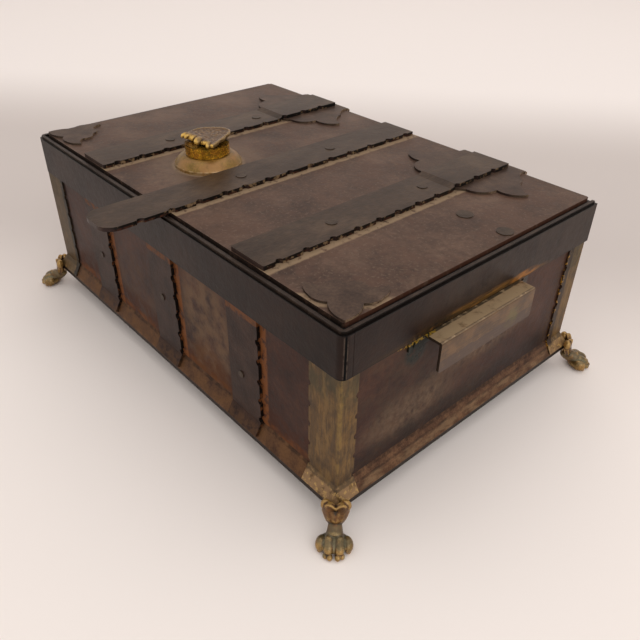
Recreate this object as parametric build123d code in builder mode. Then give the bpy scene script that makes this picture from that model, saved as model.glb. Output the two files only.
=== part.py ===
"""Iron strongbox on four brass paw feet, with a strapped lid, a turning knob and two end handles.

Millimetres, Z up. The straps and the lifting tongue face the front, which is towards -Y.
Heights are above the floor. Plan positions are from the middle of the box, which stands a
little behind the row's origin because the tongue reaches further out than the rear paws.
"""

import os
from math import atan2, cos, sin, sqrt, tan

from build123d import *

os.makedirs("parts", exist_ok=True)

# Box
collar_length = 300.0
collar_depth = 197.0

# Heights of the body
underside_z = 13.0
arris_z = 16.0
slope_top_z = 25.0
collar_bottom_z = 91.5
ledge_top_z = 115.0
lip_height = 1.5

# Body sheet and strip
wall_thickness = 2.0
bottom_thickness = 2.0
collar_thickness = 2.0
collar_corner_radius = 4.0
ledge_thickness = 2.5
ledge_reach = 12.0
lip_set_in = 1.2
lip_width = 1.8
seam_set_back = 6.5
seam_gap = 0.2
slope_reach = 5.0

# Nibbled edges of the straps and corner angles
nibble_radius = 2.2
nibble_set_out = 0.6
angle_nibble_radius = 1.9
angle_nibble_pitch = 12.7
angle_nibble_low_z = 27.0
angle_nibble_count = 5

# Vertical front straps
front_strap_width = 25.5
front_strap_thickness = 2.0
front_strap_spacing = 78.0
front_strap_foot_z = 17.2
front_nibble_stations = (79.0, 66.5, 53.5, 40.5, 27.5)

# Brass corner angles
angle_thickness = 1.0
angle_front_leaf = 21.0
angle_side_leaf = 11.0
angle_rear_side_leaf = 15.0
angle_rear_leaf = 19.0
angle_foot_z = 17.0

# Lid plate
lid_gap = 2.0
plate_rear_set_in = 1.5
plate_thickness = 2.5
plate_corner_radius = 1.5

# Lid straps; the outer two lift over the hinge leaves
strap_width = 26.0
strap_thickness = 2.4
strap_spacing = 78.0
strap_front_set_in = 0.5
strap_rear_set_in = 1.5
strap_lift_run = 5.0
strap_corner_radius = 1.0
tongue_overhang = 33.5
tongue_corner_radius = 9.0
outer_nibbles = (-83.9, -67.2, -49.9, -33.4, -17.6, -3.4, 12.5, 28.4, 46.0, 63.4, 80.0)
middle_nibbles = (-112.0, -93.4, -76.5, -59.8, -45.8, -29.7, -13.0, 3.0, 19.7, 35.8, 53.8, 71.0, 88.0)

# Hinges
hinge_leaf_thickness = 1.3
knuckle_radius = 1.6
knuckle_clearance = 0.3
hinge_half_width = 23.0
centre_knuckle_half = 8.2
pin_radius = 0.8
pin_running_clearance = 0.05
pin_seat_clearance = 0.02
pin_head_radius = 1.4
pin_head_length = 0.8
lid_leaf_length = 51.0
body_leaf_shoulder_drop = 10.0
body_leaf_point_rise = 2.0

# Outline of the lid leaf from its front end, as shares of its length
leaf_neck = (0.235, 0.0)
leaf_lobe = ((0.333, 0.069), (0.514, 0.149), (0.569, 0.314))
leaf_wing = ((0.569, 0.314), (0.753, 0.337), (0.873, 0.480))
leaf_wing_back = ((0.873, 0.480), (0.698, 0.588), (0.608, 0.755))
leaf_tail_bow = (0.518, 0.831)

# Rivets and screws
rivet_head_radius = 2.0
rivet_head_height = 0.6
rivet_shank_radius = 1.2
rivet_clearance = 0.05
strap_rivet_radius = 3.2
panel_rivet_radius = 4.6
flat_head_height = 0.4
strap_rivet_stations = (-39.2, 30.9)
panel_rivets_inward = ((31.5, 25.0), (5.8, 25.0))
front_rivets = ((-79.0, 55.0), (-1.4, 60.0), (75.5, 50.0))
body_leaf_rivets_below = ((-17.0, 5.5), (17.0, 5.5), (0.0, 16.0))

# Corner ornaments on the lid
ornament_thickness = 1.2
ornament_side_set_in = 0.3
ornament_front_set_in = 0.6

# Knob and hidden latch
knob_x = -33.5
knob_set_back = 59.1
flange_radius = 20.3
flange_edge_height = 1.6
flange_top_radius = 14.3
flange_height = 6.9
knob_clearance = 0.3
barrel_radius = 13.3
barrel_height = 6.5
cap_height = 5.6
cap_dome_radius = 32.0
spindle_radius = 4.0
spindle_running_clearance = 0.06
spindle_seat_clearance = 0.02
spindle_cover = 2.2
spindle_square = 5.6
square_clearance = 0.05
thread_radius = 2.5
thread_seat_clearance = 0.03
thread_length = 2.9
washer_radius = 8.0
blade_gap = 0.5
blade_thickness = 2.5
blade_length = 50.0
blade_width = 12.0
blade_boss_radius = 9.0
nut_across_flats = 9.0
nut_height = 2.5

# End handles
handle_stand_out = 10.0
handle_thickness = 1.5
handle_flange_thickness = 1.0
handle_drop = 17.5
handle_flange_drop = 6.5
handle_middle_y = -7.0
handle_length = 75.0
handle_flange_length = 95.0
handle_rivet_inset = 4.8
handle_rivet_drop = 3.9
handle_bend_radius = 1.0
handle_corner_radius = 1.5

# Paw feet, drawn along the diagonal outward from the corner of the base moulding
shield_half_width = 7.4
shield_top_z = 23.5
shield_notch_z = 18.4
shield_tip_z = 9.4
shield_back = 4.0
shield_bow_radius = 8.6
pad_thickness = 2.0
pad_width = 13.0
pad_inward = 18.0
leg_sections = ((11.4, -0.6, 5.6, 6.2), (9.0, 3.3, 3.6, 3.7), (5.4, 7.5, 5.6, 6.2))
paw_centre = 10.6
paw_half_length = 6.8
paw_half_width = 7.4
toe_radius = 2.75
inner_toe = (15.6, 2.6)
outer_toe = (10.8, 6.4)
paw_heel = 4.2
paw_top_z = 8.8
paw_toe_reach = 18.4
toe_tip_z = 1.6
toe_bow = 1.5
paw_knuckle = 13.2
paw_knuckle_z = 6.2
crest_bow = 0.6
paw_crest = 7.0
heel_bow = 0.9
foot_screw_inset = 13.6
screw_radius = 1.5
screw_head_radius = 2.6
screw_head_height = 1.4

# Sizes that follow from those above
wall_length = collar_length - 2 * collar_thickness
wall_depth = collar_depth - 2 * collar_thickness
wall_top_z = ledge_top_z - ledge_thickness
lip_top_z = ledge_top_z + lip_height
inner_length = wall_length - 2 * wall_thickness
inner_depth = wall_depth - 2 * wall_thickness
front_face = -collar_depth / 2
rear_face = collar_depth / 2
right_face = collar_length / 2
wall_front = -wall_depth / 2
wall_right = wall_length / 2
slope_angle = atan2(slope_reach, slope_top_z - arris_z)

plate_half_length = right_face - lip_set_in - lip_width - lid_gap
plate_front = front_face + lip_set_in + lip_width + lid_gap
plate_rear = rear_face - plate_rear_set_in
plate_top_z = ledge_top_z + plate_thickness
strap_front = plate_front + strap_front_set_in
strap_rear = plate_rear - strap_rear_set_in
tongue_tip = front_face - tongue_overhang
panel_rivets = [(plate_half_length - inward, y) for inward, y in panel_rivets_inward]

lid_leaf_front = plate_rear - lid_leaf_length
hinge_y = plate_rear + knuckle_clearance + knuckle_radius
hinge_z = plate_top_z + hinge_leaf_thickness - knuckle_clearance - knuckle_radius
body_leaf_top_z = hinge_z - knuckle_radius - knuckle_clearance
body_leaf_shoulder_z = body_leaf_top_z - body_leaf_shoulder_drop
body_leaf_bottom_z = collar_bottom_z + body_leaf_point_rise
body_leaf_rivets = [(x, body_leaf_top_z - drop) for x, drop in body_leaf_rivets_below]

knob_y = front_face + knob_set_back
flange_top_z = plate_top_z + flange_height
barrel_top_z = flange_top_z + knob_clearance + barrel_height
cap_top_z = barrel_top_z + cap_height
spindle_top_z = barrel_top_z - spindle_cover
blade_top_z = wall_top_z - blade_gap
nut_top_z = blade_top_z - blade_thickness

handle_outer_x = right_face + handle_stand_out
pad_bottom_z = underside_z - pad_thickness

# The box stands behind the row's origin by half of what the tongue reaches past the rear paws
rear_paw_reach = wall_depth / 2 + slope_reach + sum(inner_toe) / sqrt(2) + toe_radius
box_middle_y = (-tongue_tip - rear_paw_reach) / 2


def level(height):
    """A flat plan plane at a height above the floor, centred on the box."""
    return Plane((0, box_middle_y, height))


def facing_front(y):
    """An upright plane that looks towards the front, at a distance from the middle."""
    return Plane(origin=(0, box_middle_y + y, 0), x_dir=(1, 0, 0), z_dir=(0, -1, 0))


def facing_right(x):
    """An upright plane that looks towards the right, at a distance from the middle."""
    return Plane(origin=(x, box_middle_y, 0), x_dir=(0, 1, 0), z_dir=(1, 0, 0))


def corner_level(height):
    """A plan plane at the front right corner of the moulding, with X along the diagonal."""
    corner_x = wall_right + slope_reach
    corner_y = box_middle_y + wall_front - slope_reach
    return Plane(origin=(corner_x, corner_y, height), x_dir=(1, -1, 0), z_dir=(0, 0, 1))


left_right = Plane.YZ
front_rear = Plane(origin=(0, box_middle_y, 0), x_dir=(1, 0, 0), z_dir=(0, 1, 0))


def save(part, node):
    """Name one sub-part and write it out."""
    part.label = node
    export_step(part, "parts/" + node + ".step")


def block(x_range, y_range, z_range, mode=Mode.ADD):
    """A rectangular bar between plan limits measured from the middle of the box."""
    with BuildSketch(level(z_range[0])) as plan:
        with Locations(((x_range[0] + x_range[1]) / 2, (y_range[0] + y_range[1]) / 2)):
            Rectangle(x_range[1] - x_range[0], y_range[1] - y_range[0])
    extrude(plan.sketch, amount=z_range[1] - z_range[0], mode=mode)


def plan_holes(points, radius, low_z, high_z):
    """Cut round upright holes at plan points."""
    with BuildSketch(level(low_z)) as holes:
        with Locations(*points):
            Circle(radius)
    extrude(holes.sketch, amount=high_z - low_z, mode=Mode.SUBTRACT)


def grown_form(skin, low_z, high_z, mode=Mode.ADD):
    """The upright walls with their sloping foot, grown by a skin and cut off at two heights."""
    out_at_arris = slope_reach + skin / cos(slope_angle)
    rise = (out_at_arris - skin) / tan(slope_angle)
    with BuildSketch(level(arris_z)) as wide:
        Rectangle(wall_length + 2 * out_at_arris, wall_depth + 2 * out_at_arris)
    with BuildSketch(level(arris_z + rise)) as narrow:
        Rectangle(wall_length + 2 * skin, wall_depth + 2 * skin)
    loft([wide.sketch, narrow.sketch], ruled=True, mode=mode)
    half_x = wall_right + skin
    half_y = wall_depth / 2 + skin
    block((-half_x, half_x), (-half_y, half_y), (arris_z, high_z), mode)
    if low_z < arris_z:
        half_x = wall_right + out_at_arris
        half_y = wall_depth / 2 + out_at_arris
        block((-half_x, half_x), (-half_y, half_y), (low_z, arris_z), mode)


# Walls and bottom

with BuildPart() as front_wall:
    block((-wall_right, wall_right), (wall_front, wall_front + wall_thickness), (underside_z, wall_top_z))
    with BuildSketch(facing_front(wall_front)):
        with Locations(*front_rivets):
            Circle(rivet_shank_radius + rivet_clearance)
    extrude(amount=-wall_thickness, mode=Mode.SUBTRACT)
save(front_wall.part, "front_wall")

with BuildPart() as rear_wall:
    block((-wall_right, wall_right), (-wall_front - wall_thickness, -wall_front), (underside_z, wall_top_z))
    for side in (-1, 1):
        with BuildSketch(facing_front(-wall_front)):
            with Locations(*[(side * strap_spacing + x, z) for x, z in body_leaf_rivets]):
                Circle(rivet_shank_radius + rivet_clearance)
        extrude(amount=wall_thickness, mode=Mode.SUBTRACT)
save(rear_wall.part, "rear_wall")

handle_rivet_z = collar_bottom_z - handle_rivet_drop
handle_rivet_reach = handle_flange_length / 2 - handle_rivet_inset
handle_rivet_points = [
    (handle_middle_y - handle_rivet_reach, handle_rivet_z),
    (handle_middle_y + handle_rivet_reach, handle_rivet_z),
]

with BuildPart() as right_wall:
    block(
        (wall_right - wall_thickness, wall_right),
        (-inner_depth / 2, inner_depth / 2),
        (underside_z, wall_top_z),
    )
    with BuildSketch(facing_right(wall_right)):
        with Locations(*handle_rivet_points):
            Circle(rivet_shank_radius + rivet_clearance)
    extrude(amount=-wall_thickness, mode=Mode.SUBTRACT)
save(right_wall.part, "right_wall")

with BuildPart() as left_wall:
    mirror(right_wall.part, about=left_right)
save(left_wall.part, "left_wall")

with BuildPart() as bottom_plate:
    block(
        (-inner_length / 2, inner_length / 2),
        (-inner_depth / 2, inner_depth / 2),
        (underside_z, underside_z + bottom_thickness),
    )
    with BuildSketch(corner_level(underside_z)):
        with Locations((-foot_screw_inset, 0)):
            Circle(screw_radius + rivet_clearance)
    extrude(amount=bottom_thickness, mode=Mode.SUBTRACT)
    screw_x = wall_right + slope_reach - foot_screw_inset / sqrt(2)
    screw_y = wall_front - slope_reach + foot_screw_inset / sqrt(2)
    other_screws = [(-screw_x, screw_y), (screw_x, -screw_y), (-screw_x, -screw_y)]
    plan_holes(other_screws, screw_radius + rivet_clearance, underside_z, underside_z + bottom_thickness)
save(bottom_plate.part, "bottom_plate")

# Sloping base moulding in four mitred lengths

moulding_x = wall_right + slope_reach
moulding_y = wall_depth / 2 + slope_reach


def moulding(outline):
    """One mitred length of the sloping moulding, cut out of the whole ring by a plan outline."""
    with BuildPart() as strip:
        grown_form(0, underside_z, slope_top_z)
        block((-wall_right, wall_right), (wall_front, -wall_front), (underside_z, slope_top_z), Mode.SUBTRACT)
        with BuildSketch(level(underside_z)):
            with BuildLine():
                Polyline(*outline, close=True)
            make_face()
        extrude(amount=slope_top_z - underside_z, mode=Mode.INTERSECT)
    return strip.part


front_moulding_outline = [
    (-moulding_x, -moulding_y), (moulding_x, -moulding_y), (wall_right, wall_front), (-wall_right, wall_front)
]
right_moulding_outline = [
    (moulding_x, -moulding_y), (moulding_x, moulding_y), (wall_right, -wall_front), (wall_right, wall_front)
]
front_moulding = moulding(front_moulding_outline)
right_moulding = moulding(right_moulding_outline)
save(front_moulding, "base_moulding_front")
save(right_moulding, "base_moulding_right")

with BuildPart() as base_moulding_rear:
    mirror(front_moulding, about=front_rear)
save(base_moulding_rear.part, "base_moulding_rear")

with BuildPart() as base_moulding_left:
    mirror(right_moulding, about=left_right)
save(base_moulding_left.part, "base_moulding_left")

# Collar bands round the top; the front one wraps its corners, the rear ones are square

seam_y = front_face + seam_set_back


def collar_ring(low_z, high_z):
    """The outer collar as one ring with rounded corners."""
    with BuildSketch(level(low_z)) as ring:
        RectangleRounded(collar_length, collar_depth, collar_corner_radius)
        Rectangle(wall_length, wall_depth, mode=Mode.SUBTRACT)
    extrude(ring.sketch, amount=high_z - low_z)


with BuildPart() as collar_front:
    collar_ring(collar_bottom_z, ledge_top_z)
    block((-right_face, right_face), (front_face, seam_y), (collar_bottom_z, ledge_top_z), Mode.INTERSECT)
save(collar_front.part, "collar_front")

with BuildPart() as collar_rear:
    block((-wall_right, wall_right), (-wall_front, rear_face), (collar_bottom_z, ledge_top_z))
    for side in (-1, 1):
        with BuildSketch(facing_front(rear_face)):
            with Locations(*[(side * strap_spacing + x, z) for x, z in body_leaf_rivets]):
                Circle(rivet_shank_radius + rivet_clearance)
        extrude(amount=collar_thickness, mode=Mode.SUBTRACT)
save(collar_rear.part, "collar_rear")

with BuildPart() as collar_right:
    block((wall_right, right_face), (seam_y + seam_gap, rear_face), (collar_bottom_z, ledge_top_z))
save(collar_right.part, "collar_right")

with BuildPart() as collar_left:
    mirror(collar_right.part, about=left_right)
save(collar_left.part, "collar_left")

# Ledge strips that lie on the wall tops and carry the lid

ledge_inner_y = front_face + ledge_reach
ledge_inner_x = right_face - ledge_reach

with BuildPart() as ledge_front:
    block((-wall_right, wall_right), (wall_front, ledge_inner_y), (wall_top_z, ledge_top_z))
save(ledge_front.part, "ledge_front")

with BuildPart() as ledge_rear:
    mirror(ledge_front.part, about=front_rear)
save(ledge_rear.part, "ledge_rear")

with BuildPart() as ledge_right:
    block((ledge_inner_x, wall_right), (ledge_inner_y, -ledge_inner_y), (wall_top_z, ledge_top_z))
save(ledge_right.part, "ledge_right")

with BuildPart() as ledge_left:
    mirror(ledge_right.part, about=left_right)
save(ledge_left.part, "ledge_left")

# Narrow lip round the lid on three sides, set in a little from the collar's face

lip_outer_x = right_face - lip_set_in
lip_front_y = front_face + lip_set_in

with BuildPart() as lip_front:
    with BuildSketch(level(ledge_top_z)):
        RectangleRounded(2 * lip_outer_x, -2 * lip_front_y, collar_corner_radius - lip_set_in)
        Rectangle(2 * (lip_outer_x - lip_width), -2 * (lip_front_y + lip_width), mode=Mode.SUBTRACT)
        with Locations((0, (front_face + seam_y) / 2)):
            Rectangle(collar_length, seam_set_back, mode=Mode.INTERSECT)
    extrude(amount=lip_height)
save(lip_front.part, "lip_front")

with BuildPart() as lip_right:
    block(
        (lip_outer_x - lip_width, lip_outer_x),
        (seam_y + seam_gap, rear_face - lip_set_in),
        (ledge_top_z, lip_top_z),
    )
save(lip_right.part, "lip_right")

with BuildPart() as lip_left:
    mirror(lip_right.part, about=left_right)
save(lip_left.part, "lip_left")

# Front straps, bent at the foot to follow the slope


def front_strap(centre_x, rivet):
    """A nibbled strap down the front wall, turned out over the sloping moulding."""
    skin = front_strap_thickness
    bend_z = slope_top_z + skin * tan(slope_angle / 2)
    run = (slope_top_z - front_strap_foot_z) / cos(slope_angle)
    inner_foot = (wall_front - run * sin(slope_angle), front_strap_foot_z)
    outer_foot = (inner_foot[0] - skin * cos(slope_angle), inner_foot[1] + skin * sin(slope_angle))
    with BuildPart() as strap:
        with BuildSketch(facing_right(centre_x - front_strap_width / 2)):
            with BuildLine():
                Polyline(
                    (wall_front, collar_bottom_z),
                    (wall_front, slope_top_z),
                    inner_foot,
                    outer_foot,
                    (wall_front - skin, bend_z),
                    (wall_front - skin, collar_bottom_z),
                    close=True,
                )
            make_face()
        extrude(amount=front_strap_width)
        edge_x = centre_x + front_strap_width / 2 + nibble_set_out
        with BuildSketch(facing_front(wall_front)):
            with Locations(*[(edge_x, z) for z in front_nibble_stations if z < collar_bottom_z]):
                Circle(nibble_radius)
            with Locations(rivet):
                Circle(rivet_shank_radius + rivet_clearance)
        extrude(amount=2 * skin, mode=Mode.SUBTRACT)
    return strap.part


save(front_strap(-front_strap_spacing, front_rivets[0]), "front_strap_left")
save(front_strap(0, front_rivets[1]), "front_strap_middle")
save(front_strap(front_strap_spacing, front_rivets[2]), "front_strap_right")

# Brass corner angles, folded round the upright corners and out over the slope


def corner_angle(long_leaf, short_leaf):
    """A corner angle at the front right: the long leaf is on the front, the short one on the side."""
    reach = slope_reach + 2 * angle_thickness
    leaf_edge_x = wall_right + angle_thickness - long_leaf
    leaf_edge_y = wall_front - angle_thickness + short_leaf
    stations = [angle_nibble_low_z + angle_nibble_pitch * i for i in range(angle_nibble_count)]
    with BuildPart() as angle:
        grown_form(angle_thickness, arris_z, collar_bottom_z)
        grown_form(0, arris_z, collar_bottom_z, Mode.SUBTRACT)
        with BuildSketch(level(angle_foot_z)):
            with BuildLine():
                Polyline(
                    (leaf_edge_x, wall_front),
                    (leaf_edge_x, wall_front - reach),
                    (wall_right + reach, wall_front - reach),
                    (wall_right + reach, leaf_edge_y),
                    (wall_right, leaf_edge_y),
                    (wall_right, wall_front),
                    close=True,
                )
            make_face()
        extrude(amount=collar_bottom_z - angle_foot_z, mode=Mode.INTERSECT)
        with BuildSketch(facing_front(wall_front)):
            with Locations(*[(leaf_edge_x - nibble_set_out, z) for z in stations]):
                Circle(angle_nibble_radius)
        extrude(amount=reach, mode=Mode.SUBTRACT)
        with BuildSketch(facing_right(wall_right)):
            with Locations(*[(leaf_edge_y + nibble_set_out, z) for z in stations]):
                Circle(angle_nibble_radius)
        extrude(amount=reach, mode=Mode.SUBTRACT)
    return angle.part


front_angle = corner_angle(angle_front_leaf, angle_side_leaf)
rear_angle = corner_angle(angle_rear_leaf, angle_rear_side_leaf)
save(front_angle, "corner_angle_front_right")

with BuildPart() as corner_angle_front_left:
    mirror(front_angle, about=left_right)
save(corner_angle_front_left.part, "corner_angle_front_left")

with BuildPart() as corner_angle_rear_right:
    mirror(rear_angle, about=front_rear)
save(corner_angle_rear_right.part, "corner_angle_rear_right")

with BuildPart() as corner_angle_rear_left:
    mirror(corner_angle_rear_right.part, about=left_right)
save(corner_angle_rear_left.part, "corner_angle_rear_left")

# End handles: one folded brass sheet each

with BuildPart() as handle_right:
    with BuildSketch(facing_front(handle_middle_y + handle_length / 2)):
        with BuildLine():
            Polyline(
                (wall_right, collar_bottom_z),
                (handle_outer_x, collar_bottom_z),
                (handle_outer_x, collar_bottom_z - handle_drop),
                (handle_outer_x - handle_thickness, collar_bottom_z - handle_drop),
                (handle_outer_x - handle_thickness, collar_bottom_z - handle_thickness),
                (wall_right, collar_bottom_z - handle_thickness),
                close=True,
            )
        profile = make_face()
        fillet(profile.vertices().group_by(Axis.X)[-1].sort_by(Axis.Y)[-1], handle_bend_radius)
    extrude(amount=handle_length)
    low_corners = handle_right.edges().filter_by(Axis.X).group_by(Axis.Z)[0]
    fillet(low_corners, handle_corner_radius)
    flange_half = handle_flange_length / 2
    block(
        (wall_right, wall_right + handle_flange_thickness),
        (handle_middle_y - flange_half, handle_middle_y + flange_half),
        (collar_bottom_z - handle_flange_drop, collar_bottom_z),
    )
    with BuildSketch(facing_right(wall_right)):
        with Locations(*handle_rivet_points):
            Circle(rivet_shank_radius + rivet_clearance)
    extrude(amount=handle_flange_thickness, mode=Mode.SUBTRACT)
save(handle_right.part, "handle_right")

with BuildPart() as handle_left:
    mirror(handle_right.part, about=left_right)
save(handle_left.part, "handle_left")


def upright_rivets(plane, points, grip, head_radius=rivet_head_radius, head_height=rivet_head_height):
    """Rivets set square to a face: a flat round head outside and a shank in through the grip."""
    with BuildSketch(plane) as heads:
        with Locations(*points):
            Circle(head_radius)
    extrude(heads.sketch, amount=head_height)
    with BuildSketch(plane) as shanks:
        with Locations(*points):
            Circle(rivet_shank_radius)
    extrude(shanks.sketch, amount=-grip)


handle_seat_x = wall_right + handle_flange_thickness

with BuildPart() as handle_rivets:
    upright_rivets(facing_right(handle_seat_x), handle_rivet_points, handle_flange_thickness + wall_thickness)
    mirror(handle_rivets.part, about=left_right)
save(handle_rivets.part, "handle_rivets")

with BuildPart() as front_strap_rivets:
    upright_rivets(
        facing_front(wall_front - front_strap_thickness), front_rivets, front_strap_thickness + wall_thickness
    )
save(front_strap_rivets.part, "front_strap_rivets")

# Hinge leaves on the rear of the collar


def hinge_axis_plane(x):
    """The plane square to the hinge line at one place along it, centred on the line."""
    return Plane(origin=(x, box_middle_y + hinge_y, hinge_z), x_dir=(0, 1, 0), z_dir=(1, 0, 0))


def body_leaf(centre_x):
    """A pointed leaf on the collar's rear with the centre knuckle rolled at its top."""
    seat = rear_face
    with BuildPart() as leaf:
        with BuildSketch(Plane((centre_x, box_middle_y + seat, 0), x_dir=(-1, 0, 0), z_dir=(0, 1, 0))):
            with BuildLine():
                Line((-hinge_half_width, body_leaf_top_z), (hinge_half_width, body_leaf_top_z))
                Line((hinge_half_width, body_leaf_top_z), (hinge_half_width, body_leaf_shoulder_z))
                SagittaArc((hinge_half_width, body_leaf_shoulder_z), (0, body_leaf_bottom_z), -2.5)
                SagittaArc((0, body_leaf_bottom_z), (-hinge_half_width, body_leaf_shoulder_z), -2.5)
                Line((-hinge_half_width, body_leaf_shoulder_z), (-hinge_half_width, body_leaf_top_z))
            make_face()
            with Locations((0, (body_leaf_top_z + hinge_z) / 2)):
                Rectangle(2 * centre_knuckle_half, hinge_z - body_leaf_top_z)
            with Locations(*body_leaf_rivets):
                Circle(rivet_shank_radius + rivet_clearance, mode=Mode.SUBTRACT)
        extrude(amount=hinge_leaf_thickness)
        with BuildSketch(hinge_axis_plane(centre_x - centre_knuckle_half)):
            Circle(knuckle_radius)
        extrude(amount=2 * centre_knuckle_half)
        with BuildSketch(hinge_axis_plane(centre_x - hinge_half_width)):
            Circle(pin_radius + pin_running_clearance)
        extrude(amount=2 * hinge_half_width, mode=Mode.SUBTRACT)
    return leaf.part


save(body_leaf(-strap_spacing), "hinge_body_leaf_left")
save(body_leaf(strap_spacing), "hinge_body_leaf_right")

with BuildPart() as hinge_leaf_rivets:
    leaf_grip = hinge_leaf_thickness + collar_thickness + wall_thickness
    for side in (-1, 1):
        seat_plane = Plane(
            (side * strap_spacing, box_middle_y + rear_face + hinge_leaf_thickness, 0),
            x_dir=(-1, 0, 0),
            z_dir=(0, 1, 0),
        )
        upright_rivets(seat_plane, body_leaf_rivets, leaf_grip)
save(hinge_leaf_rivets.part, "hinge_leaf_rivets")

# Paw feet

shield_plane = Plane(
    origin=corner_level(0).origin, x_dir=(1, 1, 0), z_dir=(1, -1, 0)
).offset(-shield_back)
ear_x = 0.72 * shield_half_width
ear_foot = (shield_half_width, shield_top_z - 2.5)
shield_side = (0.8 * shield_half_width, (ear_foot[1] + shield_tip_z) / 2 - 0.6)
shield_chin = (0.35 * shield_half_width, shield_tip_z + 1.0)

with BuildPart() as foot:
    with BuildSketch(shield_plane):
        with BuildLine():
            ThreePointArc((0, shield_notch_z), (ear_x / 2, shield_notch_z + 1.6), (ear_x, shield_top_z))
            ThreePointArc((ear_x, shield_top_z), (shield_half_width - 0.4, shield_top_z - 0.9), ear_foot)
            ThreePointArc(ear_foot, shield_side, shield_chin)
            ThreePointArc(shield_chin, (shield_chin[0] / 2, shield_tip_z + 0.2), (0, shield_tip_z))
            mirror(about=Plane.YZ)
        make_face()
    extrude(amount=shield_bow_radius)
    with BuildSketch(corner_level(shield_tip_z)):
        with Locations((-shield_back, 0)):
            Circle(shield_bow_radius)
    extrude(amount=shield_top_z - shield_tip_z, mode=Mode.INTERSECT)
    grown_form(0, underside_z, shield_top_z, Mode.SUBTRACT)
    grown_form(angle_thickness, arris_z, shield_top_z, Mode.SUBTRACT)
    with BuildSketch(corner_level(pad_bottom_z)):
        with Locations((-pad_inward / 2, 0)):
            Rectangle(pad_inward, pad_width)
        with Locations((-pad_inward, 0)):
            Circle(pad_width / 2)
    extrude(amount=pad_thickness)
    for height, along, half_along, half_across in leg_sections:
        with BuildSketch(corner_level(height)):
            with Locations((along, 0)):
                Ellipse(half_along, half_across)
    loft(ruled=True)
    with BuildSketch(corner_level(pad_bottom_z)):
        with Locations((-foot_screw_inset, 0)):
            Circle(screw_radius + rivet_clearance)
    extrude(amount=pad_thickness, mode=Mode.SUBTRACT)

side_profile = Plane(
    origin=corner_level(0).origin, x_dir=(1, -1, 0), z_dir=(-1, -1, 0)
)

toes = [(along, side * across) for along, across in (inner_toe, outer_toe) for side in (-1, 1)]

with BuildPart() as paw:
    with BuildSketch(corner_level(0)):
        with Locations((paw_centre, 0)):
            Ellipse(paw_half_length, paw_half_width)
        with Locations(*toes):
            Circle(toe_radius)
    extrude(amount=paw_top_z)
    with BuildSketch(side_profile):
        with BuildLine():
            Line((paw_heel, 0), (paw_toe_reach, 0))
            Line((paw_toe_reach, 0), (paw_toe_reach, toe_tip_z))
            SagittaArc((paw_toe_reach, toe_tip_z), (paw_knuckle, paw_knuckle_z), -toe_bow)
            SagittaArc((paw_knuckle, paw_knuckle_z), (paw_crest, paw_top_z), -crest_bow)
            SagittaArc((paw_crest, paw_top_z), (paw_heel, 0), -heel_bow)
        make_face()
    extrude(amount=2 * paw_half_width, both=True, mode=Mode.INTERSECT)

with BuildPart() as foot_front_right:
    add(foot.part)
    add(paw.part)
save(foot_front_right.part, "foot_front_right")

with BuildPart() as foot_front_left:
    mirror(foot_front_right.part, about=left_right)
save(foot_front_left.part, "foot_front_left")

with BuildPart() as foot_rear_right:
    mirror(foot_front_right.part, about=front_rear)
save(foot_rear_right.part, "foot_rear_right")

with BuildPart() as foot_rear_left:
    mirror(foot_rear_right.part, about=left_right)
save(foot_rear_left.part, "foot_rear_left")

with BuildPart() as foot_screws:
    with BuildSketch(corner_level(pad_bottom_z - screw_head_height)):
        with Locations((-foot_screw_inset, 0)):
            Circle(screw_head_radius)
    extrude(amount=screw_head_height)
    with BuildSketch(corner_level(pad_bottom_z)):
        with Locations((-foot_screw_inset, 0)):
            Circle(screw_radius)
    extrude(amount=underside_z + bottom_thickness - pad_bottom_z)
    mirror(foot_screws.part, about=left_right)
    mirror(foot_screws.part, about=front_rear)
save(foot_screws.part, "foot_screws")

# Lid plate

strap_rivet_points = [(x, y) for x in (-strap_spacing, 0, strap_spacing) for y in strap_rivet_stations]

with BuildPart() as lid_plate:
    with BuildSketch(level(ledge_top_z)):
        with Locations((0, (plate_front + plate_rear) / 2)):
            RectangleRounded(2 * plate_half_length, plate_rear - plate_front, plate_corner_radius)
    extrude(amount=plate_thickness)
    plan_holes([(knob_x, knob_y)], spindle_radius + spindle_running_clearance, ledge_top_z, plate_top_z)
    plan_holes(
        strap_rivet_points + panel_rivets, rivet_shank_radius + rivet_clearance, ledge_top_z, plate_top_z
    )
save(lid_plate.part, "lid_plate")

# Lid straps


def lid_strap(centre_x, front_end, corner_radius, nibble_stations, lift):
    """A flat strap along the lid, nibbled down its right-hand edge, its rear part lifted over a leaf."""
    lift_start = lid_leaf_front - strap_lift_run
    with BuildPart() as strap:
        with BuildSketch(facing_right(centre_x - strap_width / 2)):
            with BuildLine():
                if lift:
                    under = [
                        (front_end, plate_top_z),
                        (lift_start, plate_top_z),
                        (lid_leaf_front, plate_top_z + lift),
                        (strap_rear, plate_top_z + lift),
                    ]
                else:
                    under = [(front_end, plate_top_z), (strap_rear, plate_top_z)]
                over = [(y, z + strap_thickness) for y, z in reversed(under)]
                Polyline(*under, *over, close=True)
            make_face()
        extrude(amount=strap_width)
        front_corners = strap.edges().filter_by(Axis.Z).group_by(Axis.Y)[0]
        fillet(front_corners, corner_radius)
        top_z = plate_top_z + lift + strap_thickness
        edge_x = centre_x + strap_width / 2 + nibble_set_out
        on_strap = [y for y in nibble_stations if front_end + corner_radius < y - nibble_radius]
        on_strap = [(edge_x, y) for y in on_strap if y + nibble_radius < strap_rear]
        plan_holes(on_strap, nibble_radius, plate_top_z, top_z)
        shanks = [(centre_x, y) for y in strap_rivet_stations]
        plan_holes(shanks, rivet_shank_radius + rivet_clearance, plate_top_z, top_z)
    return strap.part


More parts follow.
